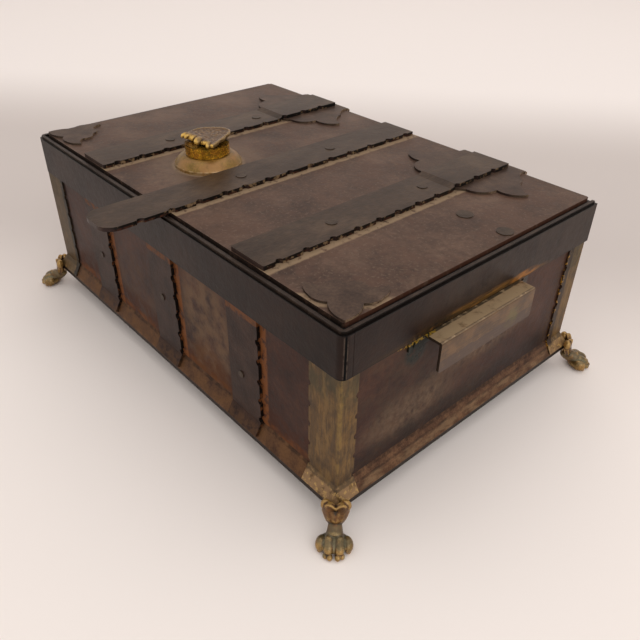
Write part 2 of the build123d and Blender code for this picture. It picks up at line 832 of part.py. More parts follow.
leaf_lift = hinge_leaf_thickness
save(lid_strap(-strap_spacing, strap_front, strap_corner_radius, outer_nibbles, leaf_lift), "lid_strap_left")
save(lid_strap(0, tongue_tip, tongue_corner_radius, middle_nibbles, 0), "lid_strap_middle")
save(lid_strap(strap_spacing, strap_front, strap_corner_radius, outer_nibbles, leaf_lift), "lid_strap_right")

with BuildPart() as lid_rivets:
    upright_rivets(
        level(plate_top_z + strap_thickness),
        strap_rivet_points,
        strap_thickness + plate_thickness,
        strap_rivet_radius,
        flat_head_height,
    )
    upright_rivets(level(plate_top_z), panel_rivets, plate_thickness, panel_rivet_radius, flat_head_height)
save(lid_rivets.part, "lid_rivets")

# Hinge leaves on the lid, cut to a fleur outline


def leaf_point(share):
    """A point of the lid leaf's outline, from its share of the leaf's length."""
    return (share[0] * lid_leaf_length, share[1] * lid_leaf_length)


def lid_leaf(centre_x):
    """The lid half of a hinge: a winged leaf under the strap, with two outer knuckles."""
    with BuildPart() as leaf:
        with BuildSketch(Plane((centre_x, box_middle_y + lid_leaf_front, plate_top_z))):
            with BuildLine():
                Line((0, 0), leaf_point(leaf_neck))
                Line(leaf_point(leaf_neck), leaf_point(leaf_lobe[0]))
                for bow in (leaf_lobe, leaf_wing, leaf_wing_back):
                    ThreePointArc(*[leaf_point(share) for share in bow])
                tail_end = (hinge_half_width, lid_leaf_length)
                ThreePointArc(leaf_point(leaf_wing_back[2]), leaf_point(leaf_tail_bow), tail_end)
                Line(tail_end, (0, lid_leaf_length))
                mirror(about=Plane.YZ)
            make_face()
        extrude(amount=hinge_leaf_thickness)
        knuckle_top_z = hinge_z + knuckle_radius
        block(
            (centre_x - hinge_half_width, centre_x + hinge_half_width),
            (plate_rear, hinge_y),
            (plate_top_z, knuckle_top_z),
        )
        knuckle_ends = centre_knuckle_half + knuckle_clearance
        for start in (-hinge_half_width, knuckle_ends):
            with BuildSketch(hinge_axis_plane(centre_x + start)):
                Circle(knuckle_radius)
            extrude(amount=hinge_half_width - knuckle_ends)
        block(
            (centre_x - knuckle_ends, centre_x + knuckle_ends),
            (plate_rear, hinge_y + knuckle_radius),
            (hinge_z - knuckle_radius, hinge_z + knuckle_radius),
            Mode.SUBTRACT,
        )
        with BuildSketch(hinge_axis_plane(centre_x - hinge_half_width)):
            Circle(pin_radius + pin_seat_clearance)
        extrude(amount=2 * hinge_half_width, mode=Mode.SUBTRACT)
    return leaf.part


save(lid_leaf(-strap_spacing), "hinge_lid_leaf_left")
save(lid_leaf(strap_spacing), "hinge_lid_leaf_right")


def hinge_pin(centre_x):
    """A plain pin with a small flat head at each end of the barrel."""
    with BuildPart() as pin:
        with BuildSketch(hinge_axis_plane(centre_x - hinge_half_width)):
            Circle(pin_radius)
        extrude(amount=2 * hinge_half_width)
        for start in (-hinge_half_width - pin_head_length, hinge_half_width):
            with BuildSketch(hinge_axis_plane(centre_x + start)):
                Circle(pin_head_radius)
            extrude(amount=pin_head_length)
    return pin.part


save(hinge_pin(-strap_spacing), "hinge_pin_left")
save(hinge_pin(strap_spacing), "hinge_pin_right")

# Corner ornaments, drawn inward from the front right corner of the lid

with BuildPart() as corner_ornament_right:
    inward = Plane(
        origin=(
            plate_half_length - ornament_side_set_in,
            box_middle_y + plate_front + ornament_front_set_in,
            plate_top_z,
        ),
        x_dir=(0, 1, 0),
        z_dir=(0, 0, 1),
    )
    with BuildSketch(inward):
        with BuildLine():
            ThreePointArc((0.9, -0.1), (9.4, 0.6), (15.0, 4.0))
            ThreePointArc((15.0, 4.0), (19.6, 1.4), (25.0, 1.7))
            ThreePointArc((25.0, 1.7), (29.8, 3.2), (33.9, 7.3))
            ThreePointArc((33.9, 7.3), (29.6, 8.6), (25.9, 12.2))
            ThreePointArc((25.9, 12.2), (26.9, 15.6), (22.4, 20.6))
            Line((22.4, 20.6), (21.6, 21.6))
            Line((21.6, 21.6), (20.6, 22.4))
            ThreePointArc((20.6, 22.4), (15.6, 26.9), (12.2, 25.9))
            ThreePointArc((12.2, 25.9), (8.6, 29.6), (7.3, 33.9))
            ThreePointArc((7.3, 33.9), (3.2, 29.8), (1.7, 25.0))
            ThreePointArc((1.7, 25.0), (1.4, 19.6), (4.0, 15.0))
            ThreePointArc((4.0, 15.0), (0.6, 9.4), (-0.1, 0.9))
            ThreePointArc((-0.1, 0.9), (0.1, 0.1), (0.9, -0.1))
        make_face()
    extrude(amount=ornament_thickness)
save(corner_ornament_right.part, "corner_ornament_right")

with BuildPart() as corner_ornament_left:
    mirror(corner_ornament_right.part, about=left_right)
save(corner_ornament_left.part, "corner_ornament_left")

# Knob: a fixed flange on the lid, then everything that turns in it


def knob_level(height):
    """A plan plane on the knob's axis."""
    return Plane((knob_x, box_middle_y + knob_y, height))


knob_profile = Plane(origin=knob_level(0).origin, x_dir=(1, 0, 0), z_dir=(0, -1, 0))
knob_axis = Axis(knob_level(0).origin, (0, 0, 1))
flange_shoulder_z = plate_top_z + flange_edge_height

with BuildPart() as knob_flange:
    with BuildSketch(knob_profile):
        bore = spindle_radius + spindle_running_clearance
        with BuildLine():
            Polyline(
                (bore, flange_top_z),
                (bore, plate_top_z),
                (flange_radius, plate_top_z),
                (flange_radius, flange_shoulder_z),
            )
            SagittaArc((flange_radius, flange_shoulder_z), (flange_top_radius, flange_top_z), -0.7)
            Line((flange_top_radius, flange_top_z), (bore, flange_top_z))
        make_face()
    revolve(axis=knob_axis)
save(knob_flange.part, "knob_flange")

with BuildPart() as knob_barrel:
    with BuildSketch(knob_level(flange_top_z + knob_clearance)):
        Circle(barrel_radius)
    extrude(amount=barrel_top_z - flange_top_z - knob_clearance)
    with BuildSketch(knob_level(flange_top_z)):
        Circle(spindle_radius + spindle_seat_clearance)
    extrude(amount=spindle_top_z - flange_top_z, mode=Mode.SUBTRACT)
save(knob_barrel.part, "knob_barrel")

with BuildPart() as knob_cap:
    with BuildSketch(knob_level(barrel_top_z)):
        with BuildLine():
            Line((15.5, -6.6), (3.4, 15.4))
            ThreePointArc((3.4, 15.4), (-4.4, 17.2), (-11.8, 12.8))
            ThreePointArc((-11.8, 12.8), (-16.4, 5.6), (-15.6, -3.4))
            ThreePointArc((-15.6, -3.4), (-14.6, -8.2), (-10.2, -8.6))
            ThreePointArc((-10.2, -8.6), (-6.9, -12.0), (-3.4, -9.0))
            ThreePointArc((-3.4, -9.0), (0.3, -12.6), (3.8, -9.2))
            ThreePointArc((3.8, -9.2), (7.3, -12.2), (10.4, -8.8))
            ThreePointArc((10.4, -8.8), (12.8, -10.4), (15.0, -8.6))
            Line((15.0, -8.6), (15.5, -6.6))
        make_face()
    extrude(amount=cap_dome_radius / 4)
    with Locations(knob_level(cap_top_z - cap_dome_radius).origin):
        Sphere(cap_dome_radius, mode=Mode.INTERSECT)
save(knob_cap.part, "knob_cap")

thread_tip_z = nut_top_z - thread_length

with BuildPart() as knob_spindle:
    with BuildSketch(knob_level(blade_top_z)):
        Circle(spindle_radius)
    extrude(amount=spindle_top_z - blade_top_z)
    with BuildSketch(knob_level(nut_top_z)):
        Rectangle(spindle_square, spindle_square)
    extrude(amount=blade_thickness)
    with BuildSketch(knob_level(thread_tip_z)):
        Circle(thread_radius)
    extrude(amount=nut_top_z - thread_tip_z)
save(knob_spindle.part, "knob_spindle")

with BuildPart() as latch_washer:
    with BuildSketch(knob_level(blade_top_z)):
        Circle(washer_radius)
        Circle(spindle_radius + spindle_seat_clearance, mode=Mode.SUBTRACT)
    extrude(amount=ledge_top_z - blade_top_z - knob_clearance)
save(latch_washer.part, "latch_washer")

with BuildPart() as latch_blade:
    with BuildSketch(knob_level(nut_top_z)):
        Circle(blade_boss_radius)
        tip_centre = blade_length - blade_width / 2
        with Locations((-tip_centre / 2, 0)):
            Rectangle(tip_centre, blade_width)
        with Locations((-tip_centre, 0)):
            Circle(blade_width / 2)
        square_hole = spindle_square + 2 * square_clearance
        Rectangle(square_hole, square_hole, mode=Mode.SUBTRACT)
    extrude(amount=blade_thickness)
save(latch_blade.part, "latch_blade")

with BuildPart() as latch_nut:
    with BuildSketch(knob_level(nut_top_z)):
        RegularPolygon(nut_across_flats / 2, 6, major_radius=False)
        Circle(thread_radius + thread_seat_clearance, mode=Mode.SUBTRACT)
    extrude(amount=-nut_height)
save(latch_nut.part, "latch_nut")
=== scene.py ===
"""Looks of the iron strongbox: sheet and strap finishes, cast brass paws and knob cap, and the studio."""

import logging
import math
from collections.abc import Sequence
from dataclasses import dataclass, field
from enum import Enum

import bpy
import numpy as np
from mathutils import Matrix

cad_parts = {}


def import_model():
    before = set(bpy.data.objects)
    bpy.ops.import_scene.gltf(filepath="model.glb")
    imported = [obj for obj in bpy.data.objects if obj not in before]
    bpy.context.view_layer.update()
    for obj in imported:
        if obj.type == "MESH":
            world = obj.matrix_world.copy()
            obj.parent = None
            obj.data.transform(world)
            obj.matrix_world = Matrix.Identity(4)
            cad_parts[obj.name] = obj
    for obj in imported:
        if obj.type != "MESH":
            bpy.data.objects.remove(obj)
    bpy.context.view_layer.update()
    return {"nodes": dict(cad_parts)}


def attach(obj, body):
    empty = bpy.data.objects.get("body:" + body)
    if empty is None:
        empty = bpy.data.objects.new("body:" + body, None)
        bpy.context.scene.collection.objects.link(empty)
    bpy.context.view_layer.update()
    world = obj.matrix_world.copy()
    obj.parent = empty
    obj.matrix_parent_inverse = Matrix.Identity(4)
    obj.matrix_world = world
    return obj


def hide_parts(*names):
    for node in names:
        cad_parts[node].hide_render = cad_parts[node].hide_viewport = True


LOG = logging.getLogger("strongbox")
Colour = tuple[float, float, float]
Point = tuple[float, float, float]

# Metres in a millimetre, and how far the middle of the box stands behind the frame's origin.
MM = 0.001
BOX_MIDDLE_Y = 7.440328

# The measures that a casting's points carry for its finish.
RELIEF = "relief"
GROOVE = "groove"

# The curve of display colours: a straight line below the knee and a power above it.
DISPLAY_KNEE = 0.04045
DISPLAY_SLOPE = 12.92
DISPLAY_OFFSET = 0.055
DISPLAY_POWER = 2.4

# Noise: how rough its layers are, the blots of a ragged edge, and how far a mark's
# threshold moves between covering nothing and covering everything.
NOISE_ROUGHNESS = 0.6
RAGGED_BLOT = 4.5
COVER_SPREAD = 0.36


class Axis(Enum):
    """The three directions of the shared frame, by their place in a point."""

    X = 0
    Y = 1
    Z = 2


def linear(red: float, green: float, blue: float) -> Colour:
    """Turn a display colour into the linear colour that a shader takes.

    Args:
        red: Display red from 0 to 1.
        green: Display green from 0 to 1.
        blue: Display blue from 0 to 1.

    Returns:
        The colour in linear light.
    """
    shades = np.array([red, green, blue])
    low = shades / DISPLAY_SLOPE
    high = ((shades + DISPLAY_OFFSET) / (1.0 + DISPLAY_OFFSET)) ** DISPLAY_POWER
    return tuple(float(c) for c in np.where(shades <= DISPLAY_KNEE, low, high))


class Value:
    """A shader socket that can stand in sums with numbers and with other values."""

    def __init__(self, maker: "NodeMaker", socket: bpy.types.NodeSocket) -> None:
        """Keep the socket and the maker that adds nodes beside it."""
        self.maker = maker
        self.socket = socket

    def __add__(self, other: "Value | float") -> "Value":
        """Return this value plus another."""
        return self.maker.maths("ADD", self, other)

    def __radd__(self, other: float) -> "Value":
        """Return a number plus this value."""
        return self.maker.maths("ADD", other, self)

    def __sub__(self, other: "Value | float") -> "Value":
        """Return this value less another."""
        return self.maker.maths("SUBTRACT", self, other)

    def __rsub__(self, other: float) -> "Value":
        """Return a number less this value."""
        return self.maker.maths("SUBTRACT", other, self)

    def __mul__(self, other: "Value | float") -> "Value":
        """Return this value times another."""
        return self.maker.maths("MULTIPLY", self, other)

    def __rmul__(self, other: float) -> "Value":
        """Return a number times this value."""
        return self.maker.maths("MULTIPLY", other, self)


class NodeMaker:
    """Builds one material's nodes, with positions in millimetres from the middle of the box."""

    def __init__(self, name: str) -> None:
        """Start an empty material with its place and facing along each axis.

        Args:
            name: The material's name.
        """
        self.material = bpy.data.materials.new(name)
        self.material.use_nodes = True
        self.tree = self.material.node_tree
        self.tree.nodes.clear()
        raw = self.add("ShaderNodeTexCoord", {}, {}, "Object")
        scaled = self.add("ShaderNodeVectorMath", {"operation": "SCALE"}, {0: raw, "Scale": 1.0 / MM})
        self.place = self.add(
            "ShaderNodeVectorMath", {"operation": "SUBTRACT"}, {0: scaled, 1: (0.0, BOX_MIDDLE_Y, 0.0)}
        )
        split = self.node("ShaderNodeSeparateXYZ", {}, {0: self.place})
        self.along = {axis: Value(self, split.outputs[axis.value]) for axis in Axis}
        facing = self.add("ShaderNodeTexCoord", {}, {}, "Normal")
        sides = self.node("ShaderNodeSeparateXYZ", {}, {0: facing})
        self.towards = {axis: Value(self, sides.outputs[axis.value]) for axis in Axis}

    def node(self, kind: str, settings: dict, inputs: dict) -> bpy.types.Node:
        """Add a node of any kind.

        Args:
            kind: The node's type name.
            settings: Attributes to set first, or "stops" for a ramp's positions and colours.
            inputs: Values, links or constants by socket name or number.

        Returns:
            The node.
        """
        node = self.tree.nodes.new(kind)
        for key, setting in settings.items():
            if key == "stops":
                elements = node.color_ramp.elements
                while len(elements) < len(setting):
                    elements.new(0.5)
                for element, (position, colour) in zip(elements, setting):
                    element.position = position
                    element.color = (*colour, 1.0)
            else:
                setattr(node, key, setting)
        for key, given in inputs.items():
            socket = node.inputs[key]
            if isinstance(given, Value):
                self.tree.links.new(given.socket, socket)
            elif socket.type == "RGBA" and len(given) == 3:
                socket.default_value = (*given, 1.0)
            else:
                socket.default_value = given
        return node

    def add(self, kind: str, settings: dict, inputs: dict, output: int | str = 0) -> Value:
        """Add a node and return the chosen one of its outputs."""
        return Value(self, self.node(kind, settings, inputs).outputs[output])

    def maths(self, operation: str, first: "Value | float", second: "Value | float") -> Value:
        """Add one Math node and return its result."""
        return self.add("ShaderNodeMath", {"operation": operation}, {0: first, 1: second})

    def noise(
        self, size: float, detail: float = 3.0, stretch: Point = (1.0, 1.0, 1.0), seed: float = 0.0
    ) -> Value:
        """Make soft noise whose blots are about a given size.

        Args:
            size: Blot size in millimetres.
            detail: How many finer layers it has.
            stretch: How much the pattern is drawn out along each axis.
            seed: A shift that makes two noises differ.

        Returns:
            The noise, from about 0 to 1.
        """
        scale = tuple(1.0 / (size * s) for s in stretch)
        shift = (seed,) * 3
        drawn = self.add(
            "ShaderNodeVectorMath", {"operation": "MULTIPLY_ADD"}, {0: self.place, 1: scale, 2: shift}
        )
        inputs = {"Vector": drawn, "Scale": 1.0, "Detail": detail, "Roughness": NOISE_ROUGHNESS}
        return self.add("ShaderNodeTexNoise", {}, inputs)

    def step(self, value: Value, low: float, high: float) -> Value:
        """Rise smoothly from 0 at one value to 1 at another."""
        inputs = {"Value": value, "From Min": low, "From Max": high, "To Min": 0.0, "To Max": 1.0}
        return self.add("ShaderNodeMapRange", {"interpolation_type": "SMOOTHSTEP"}, inputs)

    def between(self, value: Value, low: float, high: float, soft: float) -> Value:
        """Return 1 from one value to another and 0 past a soft end on both sides."""
        return self.step(value, low - soft, low) * (1.0 - self.step(value, high, high + soft))

    def heading(self, angle: float) -> Value:
        """Return how far each point lies along a plan direction given in degrees from X."""
        turn = math.radians(angle)
        return self.along[Axis.X] * math.cos(turn) + self.along[Axis.Y] * math.sin(turn)

    def mix(self, factor: "Value | float", first: "Value | Colour", second: "Value | Colour") -> Value:
        """Blend two colours by a factor."""
        return self.add("ShaderNodeMix", {"data_type": "RGBA"}, {0: factor, 6: first, 7: second}, 2)

    def ramp(self, factor: Value, places: Point, colours: tuple[Colour, Colour, Colour]) -> Value:
        """Run through three colours as the factor passes three places."""
        return self.add("ShaderNodeValToRGB", {"stops": list(zip(places, colours))}, {0: factor})

    def finish(
        self,
        colour: Value,
        roughness: "Value | float",
        metallic: float,
        height: Value | None,
        depth: float,
        specular: float = 0.5,
    ) -> bpy.types.Material:
        """Join the surface together.

        Args:
            colour: The base colour.
            roughness: The roughness.
            metallic: The metallic share.
            height: The relief from 0 to 1, or None for a smooth surface.
            depth: The relief's depth in millimetres.
            specular: How strongly the surface mirrors light, the same all over.

        Returns:
            The finished material.
        """
        inputs = {
            "Base Color": colour,
            "Roughness": roughness,
            "Metallic": metallic,
            "Specular IOR Level": specular,
        }
        if height is not None:
            bump = {"Strength": 1.0, "Distance": depth * MM, "Height": height}
            inputs["Normal"] = self.add("ShaderNodeBump", {}, bump)
        surface = self.add("ShaderNodeBsdfPrincipled", {}, inputs)
        self.node("ShaderNodeOutputMaterial", {"is_active_output": True}, {"Surface": surface})
        return self.material


@dataclass(frozen=True)
class Span:
    """A stretch along one axis, in millimetres from the middle of the box.

    Its ends fade out over the soft width. A ragged stretch has ends that wander by so much.
    """

    axis: Axis
    low: float
    high: float
    soft: float = 2.0
    ragged: float = 0.0

    def mask(self, maker: NodeMaker) -> Value:
        """Work out where the stretch lies.

        Args:
            maker: The nodes of the material.

        Returns:
            1 inside the stretch and 0 outside it.
        """
        here = maker.along[self.axis]
        if self.ragged:
            wander = maker.noise(RAGGED_BLOT, detail=4.0, seed=self.low) - 0.5
            here = here + wander * (2.0 * self.ragged)
        return maker.between(here, self.low, self.high, self.soft)


@dataclass(frozen=True)
class Slant:
    """A stretch along a plan direction given by an angle, for edges that run askew."""

    angle: float
    low: float
    high: float
    soft: float = 1.5

    def mask(self, maker: NodeMaker) -> Value:
        """Return 1 inside the stretch and 0 outside it."""
        return maker.between(maker.heading(self.angle), self.low, self.high, self.soft)


@dataclass(frozen=True)
class Facing:
    """The faces that look along one axis, from a low to a high share of it."""

    axis: Axis
    low: float
    high: float

    def mask(self, maker: NodeMaker) -> Value:
        """Return 1 on faces past the high share and 0 on those below the low one."""
        return maker.step(maker.towards[self.axis], self.low, self.high)


@dataclass(frozen=True)
class Ball:
    """A round or drawn-out patch about a point, with a soft rim, in millimetres."""

    centre: Point
    radius: float
    soft: float = 3.0
    drawn: Point = (1.0, 1.0, 1.0)

    def mask(self, maker: NodeMaker) -> Value:
        """Work out where the patch lies.

        Args:
            maker: The nodes of the material.

        Returns:
            1 near the point and 0 past the rim.
        """
        squeeze = tuple(1.0 / d for d in self.drawn)
        middle = tuple(c / d for c, d in zip(self.centre, self.drawn))
        squeezed = maker.add("ShaderNodeVectorMath", {"operation": "MULTIPLY"}, {0: maker.place, 1: squeeze})
        far = maker.add("ShaderNodeVectorMath", {"operation": "DISTANCE"}, {0: squeezed, 1: middle}, "Value")
        return 1.0 - maker.step(far, self.radius, self.radius + self.soft)


@dataclass(frozen=True)
class Mark:
    """Rust, dust, wear and stains, and painted shade, highlights and reflections, laid over a finish
    where all of its places meet.

    It comes in blots of a size in millimetres, drawn out along each axis, which cover the given
    share and fade over the soft step of the noise. It adds to the roughness under it.
    """

    colour: Colour
    strength: float
    places: tuple[Span | Slant | Facing | Ball, ...] = ()
    blot: float = 6.0
    share: float = 0.5
    soft: float = 0.12
    rough: float = 0.0
    seed: float = 0.0
    drawn: Point = (1.0, 1.0, 1.0)

    def mask(self, maker: NodeMaker) -> Value:
        """Return how strongly the mark covers each point.

        Args:
            maker: The nodes of the material.

        Returns:
            The product of its places, broken up by noise over the given share.
        """
        whole = None
        if self.share < 1.0:
            cover = maker.noise(self.blot, 4.0, self.drawn, self.seed)
            edge = 0.5 + (0.5 - self.share) * COVER_SPREAD
            whole = maker.step(cover, edge - self.soft * 0.5, edge + self.soft * 0.5)
        for place in self.places:
            here = place.mask(maker)
            whole = here if whole is None else whole * here
        return whole * self.strength


def lay_marks(
    maker: NodeMaker, marks: tuple[Mark, ...], colour: Value, roughness: Value
) -> tuple[Value, Value]:
    """Lay marks over a finish, one after the other.

    Args:
        maker: The nodes of the material.
        marks: The marks, the lowest first.
        colour: The colour under them.
        roughness: The roughness under them.

    Returns:
        The colour and the roughness with the marks on them.
    """
    for mark in marks:
        cover = mark.mask(maker)
        colour = maker.mix(cover, colour, mark.colour)
        roughness = roughness + cover * mark.rough
    return colour, roughness


@dataclass(frozen=True)
class IronFinish:
    """Patinated iron: three tones in blots, fine grain, shallow dents, and marks laid over them.

    Blots, grain and the depth and width of the dents are in millimetres. Each share is what one
    noise adds to the tone, the roughness or the relief.
    """

    name: str
    deep: Colour
    middle: Colour
    pale: Colour
    roughness: float
    blot: float = 22.0
    dent: float = 0.25
    metallic: float = 0.35
    stretch: Point = (1.0, 1.0, 1.0)
    specular: float = 0.15
    marks: tuple[Mark, ...] = ()
    finer: float = 9.0
    grain: float = 0.9
    dent_width: float = 7.0
    tone_shares: tuple[float, float] = (0.62, 0.38)
    tone_places: Point = (0.36, 0.5, 0.64)
    rough_shares: tuple[float, float] = (0.22, 0.1)
    relief_shares: Point = (0.6, 0.25, 0.15)

    def build(self) -> bpy.types.Material:
        """Make the material.

        Returns:
            The finished material.
        """
        maker = NodeMaker(self.name)
        broad = maker.noise(self.blot, 5.0, self.stretch)
        fine = maker.noise(self.blot / self.finer, 4.0, self.stretch, seed=3.7)
        grain = maker.noise(self.grain, 2.0, seed=8.1)
        tone = broad * self.tone_shares[0] + fine * self.tone_shares[1]
        colour = maker.ramp(tone, self.tone_places, (self.deep, self.middle, self.pale))
        fine_rough, grain_rough = self.rough_shares
        roughness = self.roughness + (fine - 0.5) * fine_rough + (grain - 0.5) * grain_rough
        colour, roughness = lay_marks(maker, self.marks, colour, roughness)
        dented, fine_deep, grain_deep = self.relief_shares
        relief = maker.noise(self.dent_width, 2.0, seed=1.3) * dented + fine * fine_deep + grain * grain_deep
        return maker.finish(colour, roughness, self.metallic, relief, self.dent, self.specular)


@dataclass(frozen=True)
class BrassFinish:
    """Old brass: bright and dull tones, drawn-out brushing, dark pits and green or brown stains,
    with marks laid over them that include painted highlights and painted shade.

    Blots, strokes and pits are in millimetres. Each edge is where a noise or measure starts and
    ends to show. A casting's hollows, ridges and grooves have colours of their own.
    """

    name: str
    bright: Colour
    dull: Colour
    dark: Colour
    roughness: float
    brushing: Point = (1.0, 1.0, 1.0)
    blot: float = 9.0
    dent: float = 0.15
    metallic: float = 0.6
    specular: float = 0.5
    hollows: Colour | None = None
    ridges: Colour | None = None
    grooves: Colour | None = None
    marks: tuple[Mark, ...] = ()
    stroke: float = 0.9
    pit: float = 1.6
    tone_shares: tuple[float, float] = (0.55, 0.45)
    tone_places: Point = (0.36, 0.49, 0.62)
    pit_edge: tuple[float, float] = (0.66, 0.76)
    pit_strength: float = 0.7
    unevenness: float = 0.25
    hollow_edge: tuple[float, float] = (0.56, 0.85)
    ridge_edge: tuple[float, float] = (0.18, 0.46)
    ridge_strength: float = 0.85
    ridge_polish: float = 0.12
    groove_edge: tuple[float, float] = (0.3, 0.5)
    relief_shares: Point = (0.5, 0.3, 0.2)

    def build(self) -> bpy.types.Material:
        """Make the material.

        Returns:
            The finished material.
        """
        maker = NodeMaker(self.name)
        broad = maker.noise(self.blot, 4.0)
        strokes = maker.noise(self.stroke, 3.0, self.brushing, seed=2.2)
        pits = maker.noise(self.pit, 2.0, seed=5.5)
        tone = broad * self.tone_shares[0] + strokes * self.tone_shares[1]
        colour = maker.ramp(tone, self.tone_places, (self.dark, self.dull, self.bright))
        colour = maker.mix(maker.step(pits, *self.pit_edge) * self.pit_strength, colour, self.dark)
        roughness = self.roughness + (strokes - 0.5) * self.unevenness
        if self.hollows and self.ridges:
            relief = maker.add("ShaderNodeAttribute", {"attribute_name": RELIEF}, {}, "Fac")
            ragged = relief + (pits - 0.5) * self.unevenness
            colour = maker.mix(maker.step(ragged, *self.hollow_edge), colour, self.hollows)
            worn = 1.0 - maker.step(ragged, *self.ridge_edge)
            colour = maker.mix(worn * self.ridge_strength, colour, self.ridges)
            roughness = roughness - worn * self.ridge_polish
        if self.grooves:
            line = maker.add("ShaderNodeAttribute", {"attribute_name": GROOVE}, {}, "Fac")
            colour = maker.mix(line * maker.step(pits, *self.groove_edge), colour, self.grooves)
        colour, roughness = lay_marks(maker, self.marks, colour, roughness)
        stroked, blotted, pitted = self.relief_shares
        relief = strokes * stroked + broad * blotted + pits * pitted
        return maker.finish(colour, roughness, self.metallic, relief, self.dent, self.specular)


# Colours that several finishes share.
RUST = linear(0.45, 0.27, 0.14)
RUST_DARK = linear(0.27, 0.15, 0.10)
DUST = linear(0.56, 0.47, 0.37)
PALE_DUST = linear(0.52, 0.42, 0.31)
TAN = linear(0.47, 0.37, 0.27)
# Near black: most marks use it as painted shade on side faces and gaps in shadow; a few make dark lines and
# bands.
NEAR_BLACK = linear(0.045, 0.035, 0.03)
# Green-black: painted shadow under the handle's top leaf, mixed with verdigris.
SHADOW_AND_VERDIGRIS = linear(0.05, 0.075, 0.045)
YELLOW_SPECK = linear(0.66, 0.52, 0.16)
WORN_BRASS = linear(0.66, 0.52, 0.30)
BRASS_SHADE = linear(0.10, 0.07, 0.03)

# Faces and edges, by the way they look.
TOP_FACE = Facing(Axis.Z, 0.3, 0.7)
RIGHT_EDGE = Facing(Axis.X, 0.3, 0.6)
LEFT_EDGE = Facing(Axis.X, -0.3, -0.6)
FRONT_EDGE = Facing(Axis.Y, -0.3, -0.6)
HANDLE_TOP = Facing(Axis.Z, 0.5, 0.9)
HANDLE_FACE = Facing(Axis.X, 0.5, 0.9)

# Where the box's sheets and fittings lie.
OUTSIDE_FRONT = Span(Axis.Y, -100.0, -95.8, 0.5)
RIGHT_WALL = Span(Axis.X, 140.0, 150.0, 3.0)
RIGHT_SHEET = Span(Axis.X, 140.0, 150.0)
RIGHT_FRONT_LEAF = Span(Axis.X, 100.0, 146.0)
COLLAR_RIGHT = Span(Axis.X, 149.0, 152.0)
COLLAR_END = Span(Axis.X, 147.5, 152.0, 0.5)
MOULDING_RIGHT = Span(Axis.X, 149.0, 160.0)
HANDLE_FLANGE = Span(Axis.X, 145.0, 151.6, 0.5)
ANGLE_UPRIGHT = Span(Axis.Z, 25.0, 100.0)
BARREL = Span(Axis.Z, 124.0, 132.0)
KNOB_PLACE = (-33.5, -39.4, 117.5)
FLANGE_RIM = 20.3

# The straps: their middles, half their width, and how deep the nibbles of an edge go.
STRAP_CENTRES = (-78.0, 0.0, 78.0)
STRAP_EDGE = 13.0
NIBBLE = 3.0


def strap_edge_marks(
    reach: float, colour: Colour, strength: float, share: float, within: tuple[Span | Facing, ...] = ()
) -> tuple[Mark, ...]:
    """Lay a mark beside the nibbled right-hand edge of each strap.

    Args:
        reach: How far it runs out from the edge, in millimetres.
        colour: Its colour.
        strength: How strongly it covers.
        share: The share of the stretch it covers.
        within: The stretches or faces that it stays inside.

    Returns:
        One mark for each strap.
    """
    marks = []
    for centre in STRAP_CENTRES:
        edge = centre + STRAP_EDGE
        beside = Span(Axis.X, edge - NIBBLE, edge + reach, soft=1.6, ragged=0.7)
        marks.append(
            Mark(
                colour, strength, (beside, *within),
                blot=3.5, share=share, soft=0.15, rough=0.15, seed=centre * 0.03,
            )
        )
    return tuple(marks)


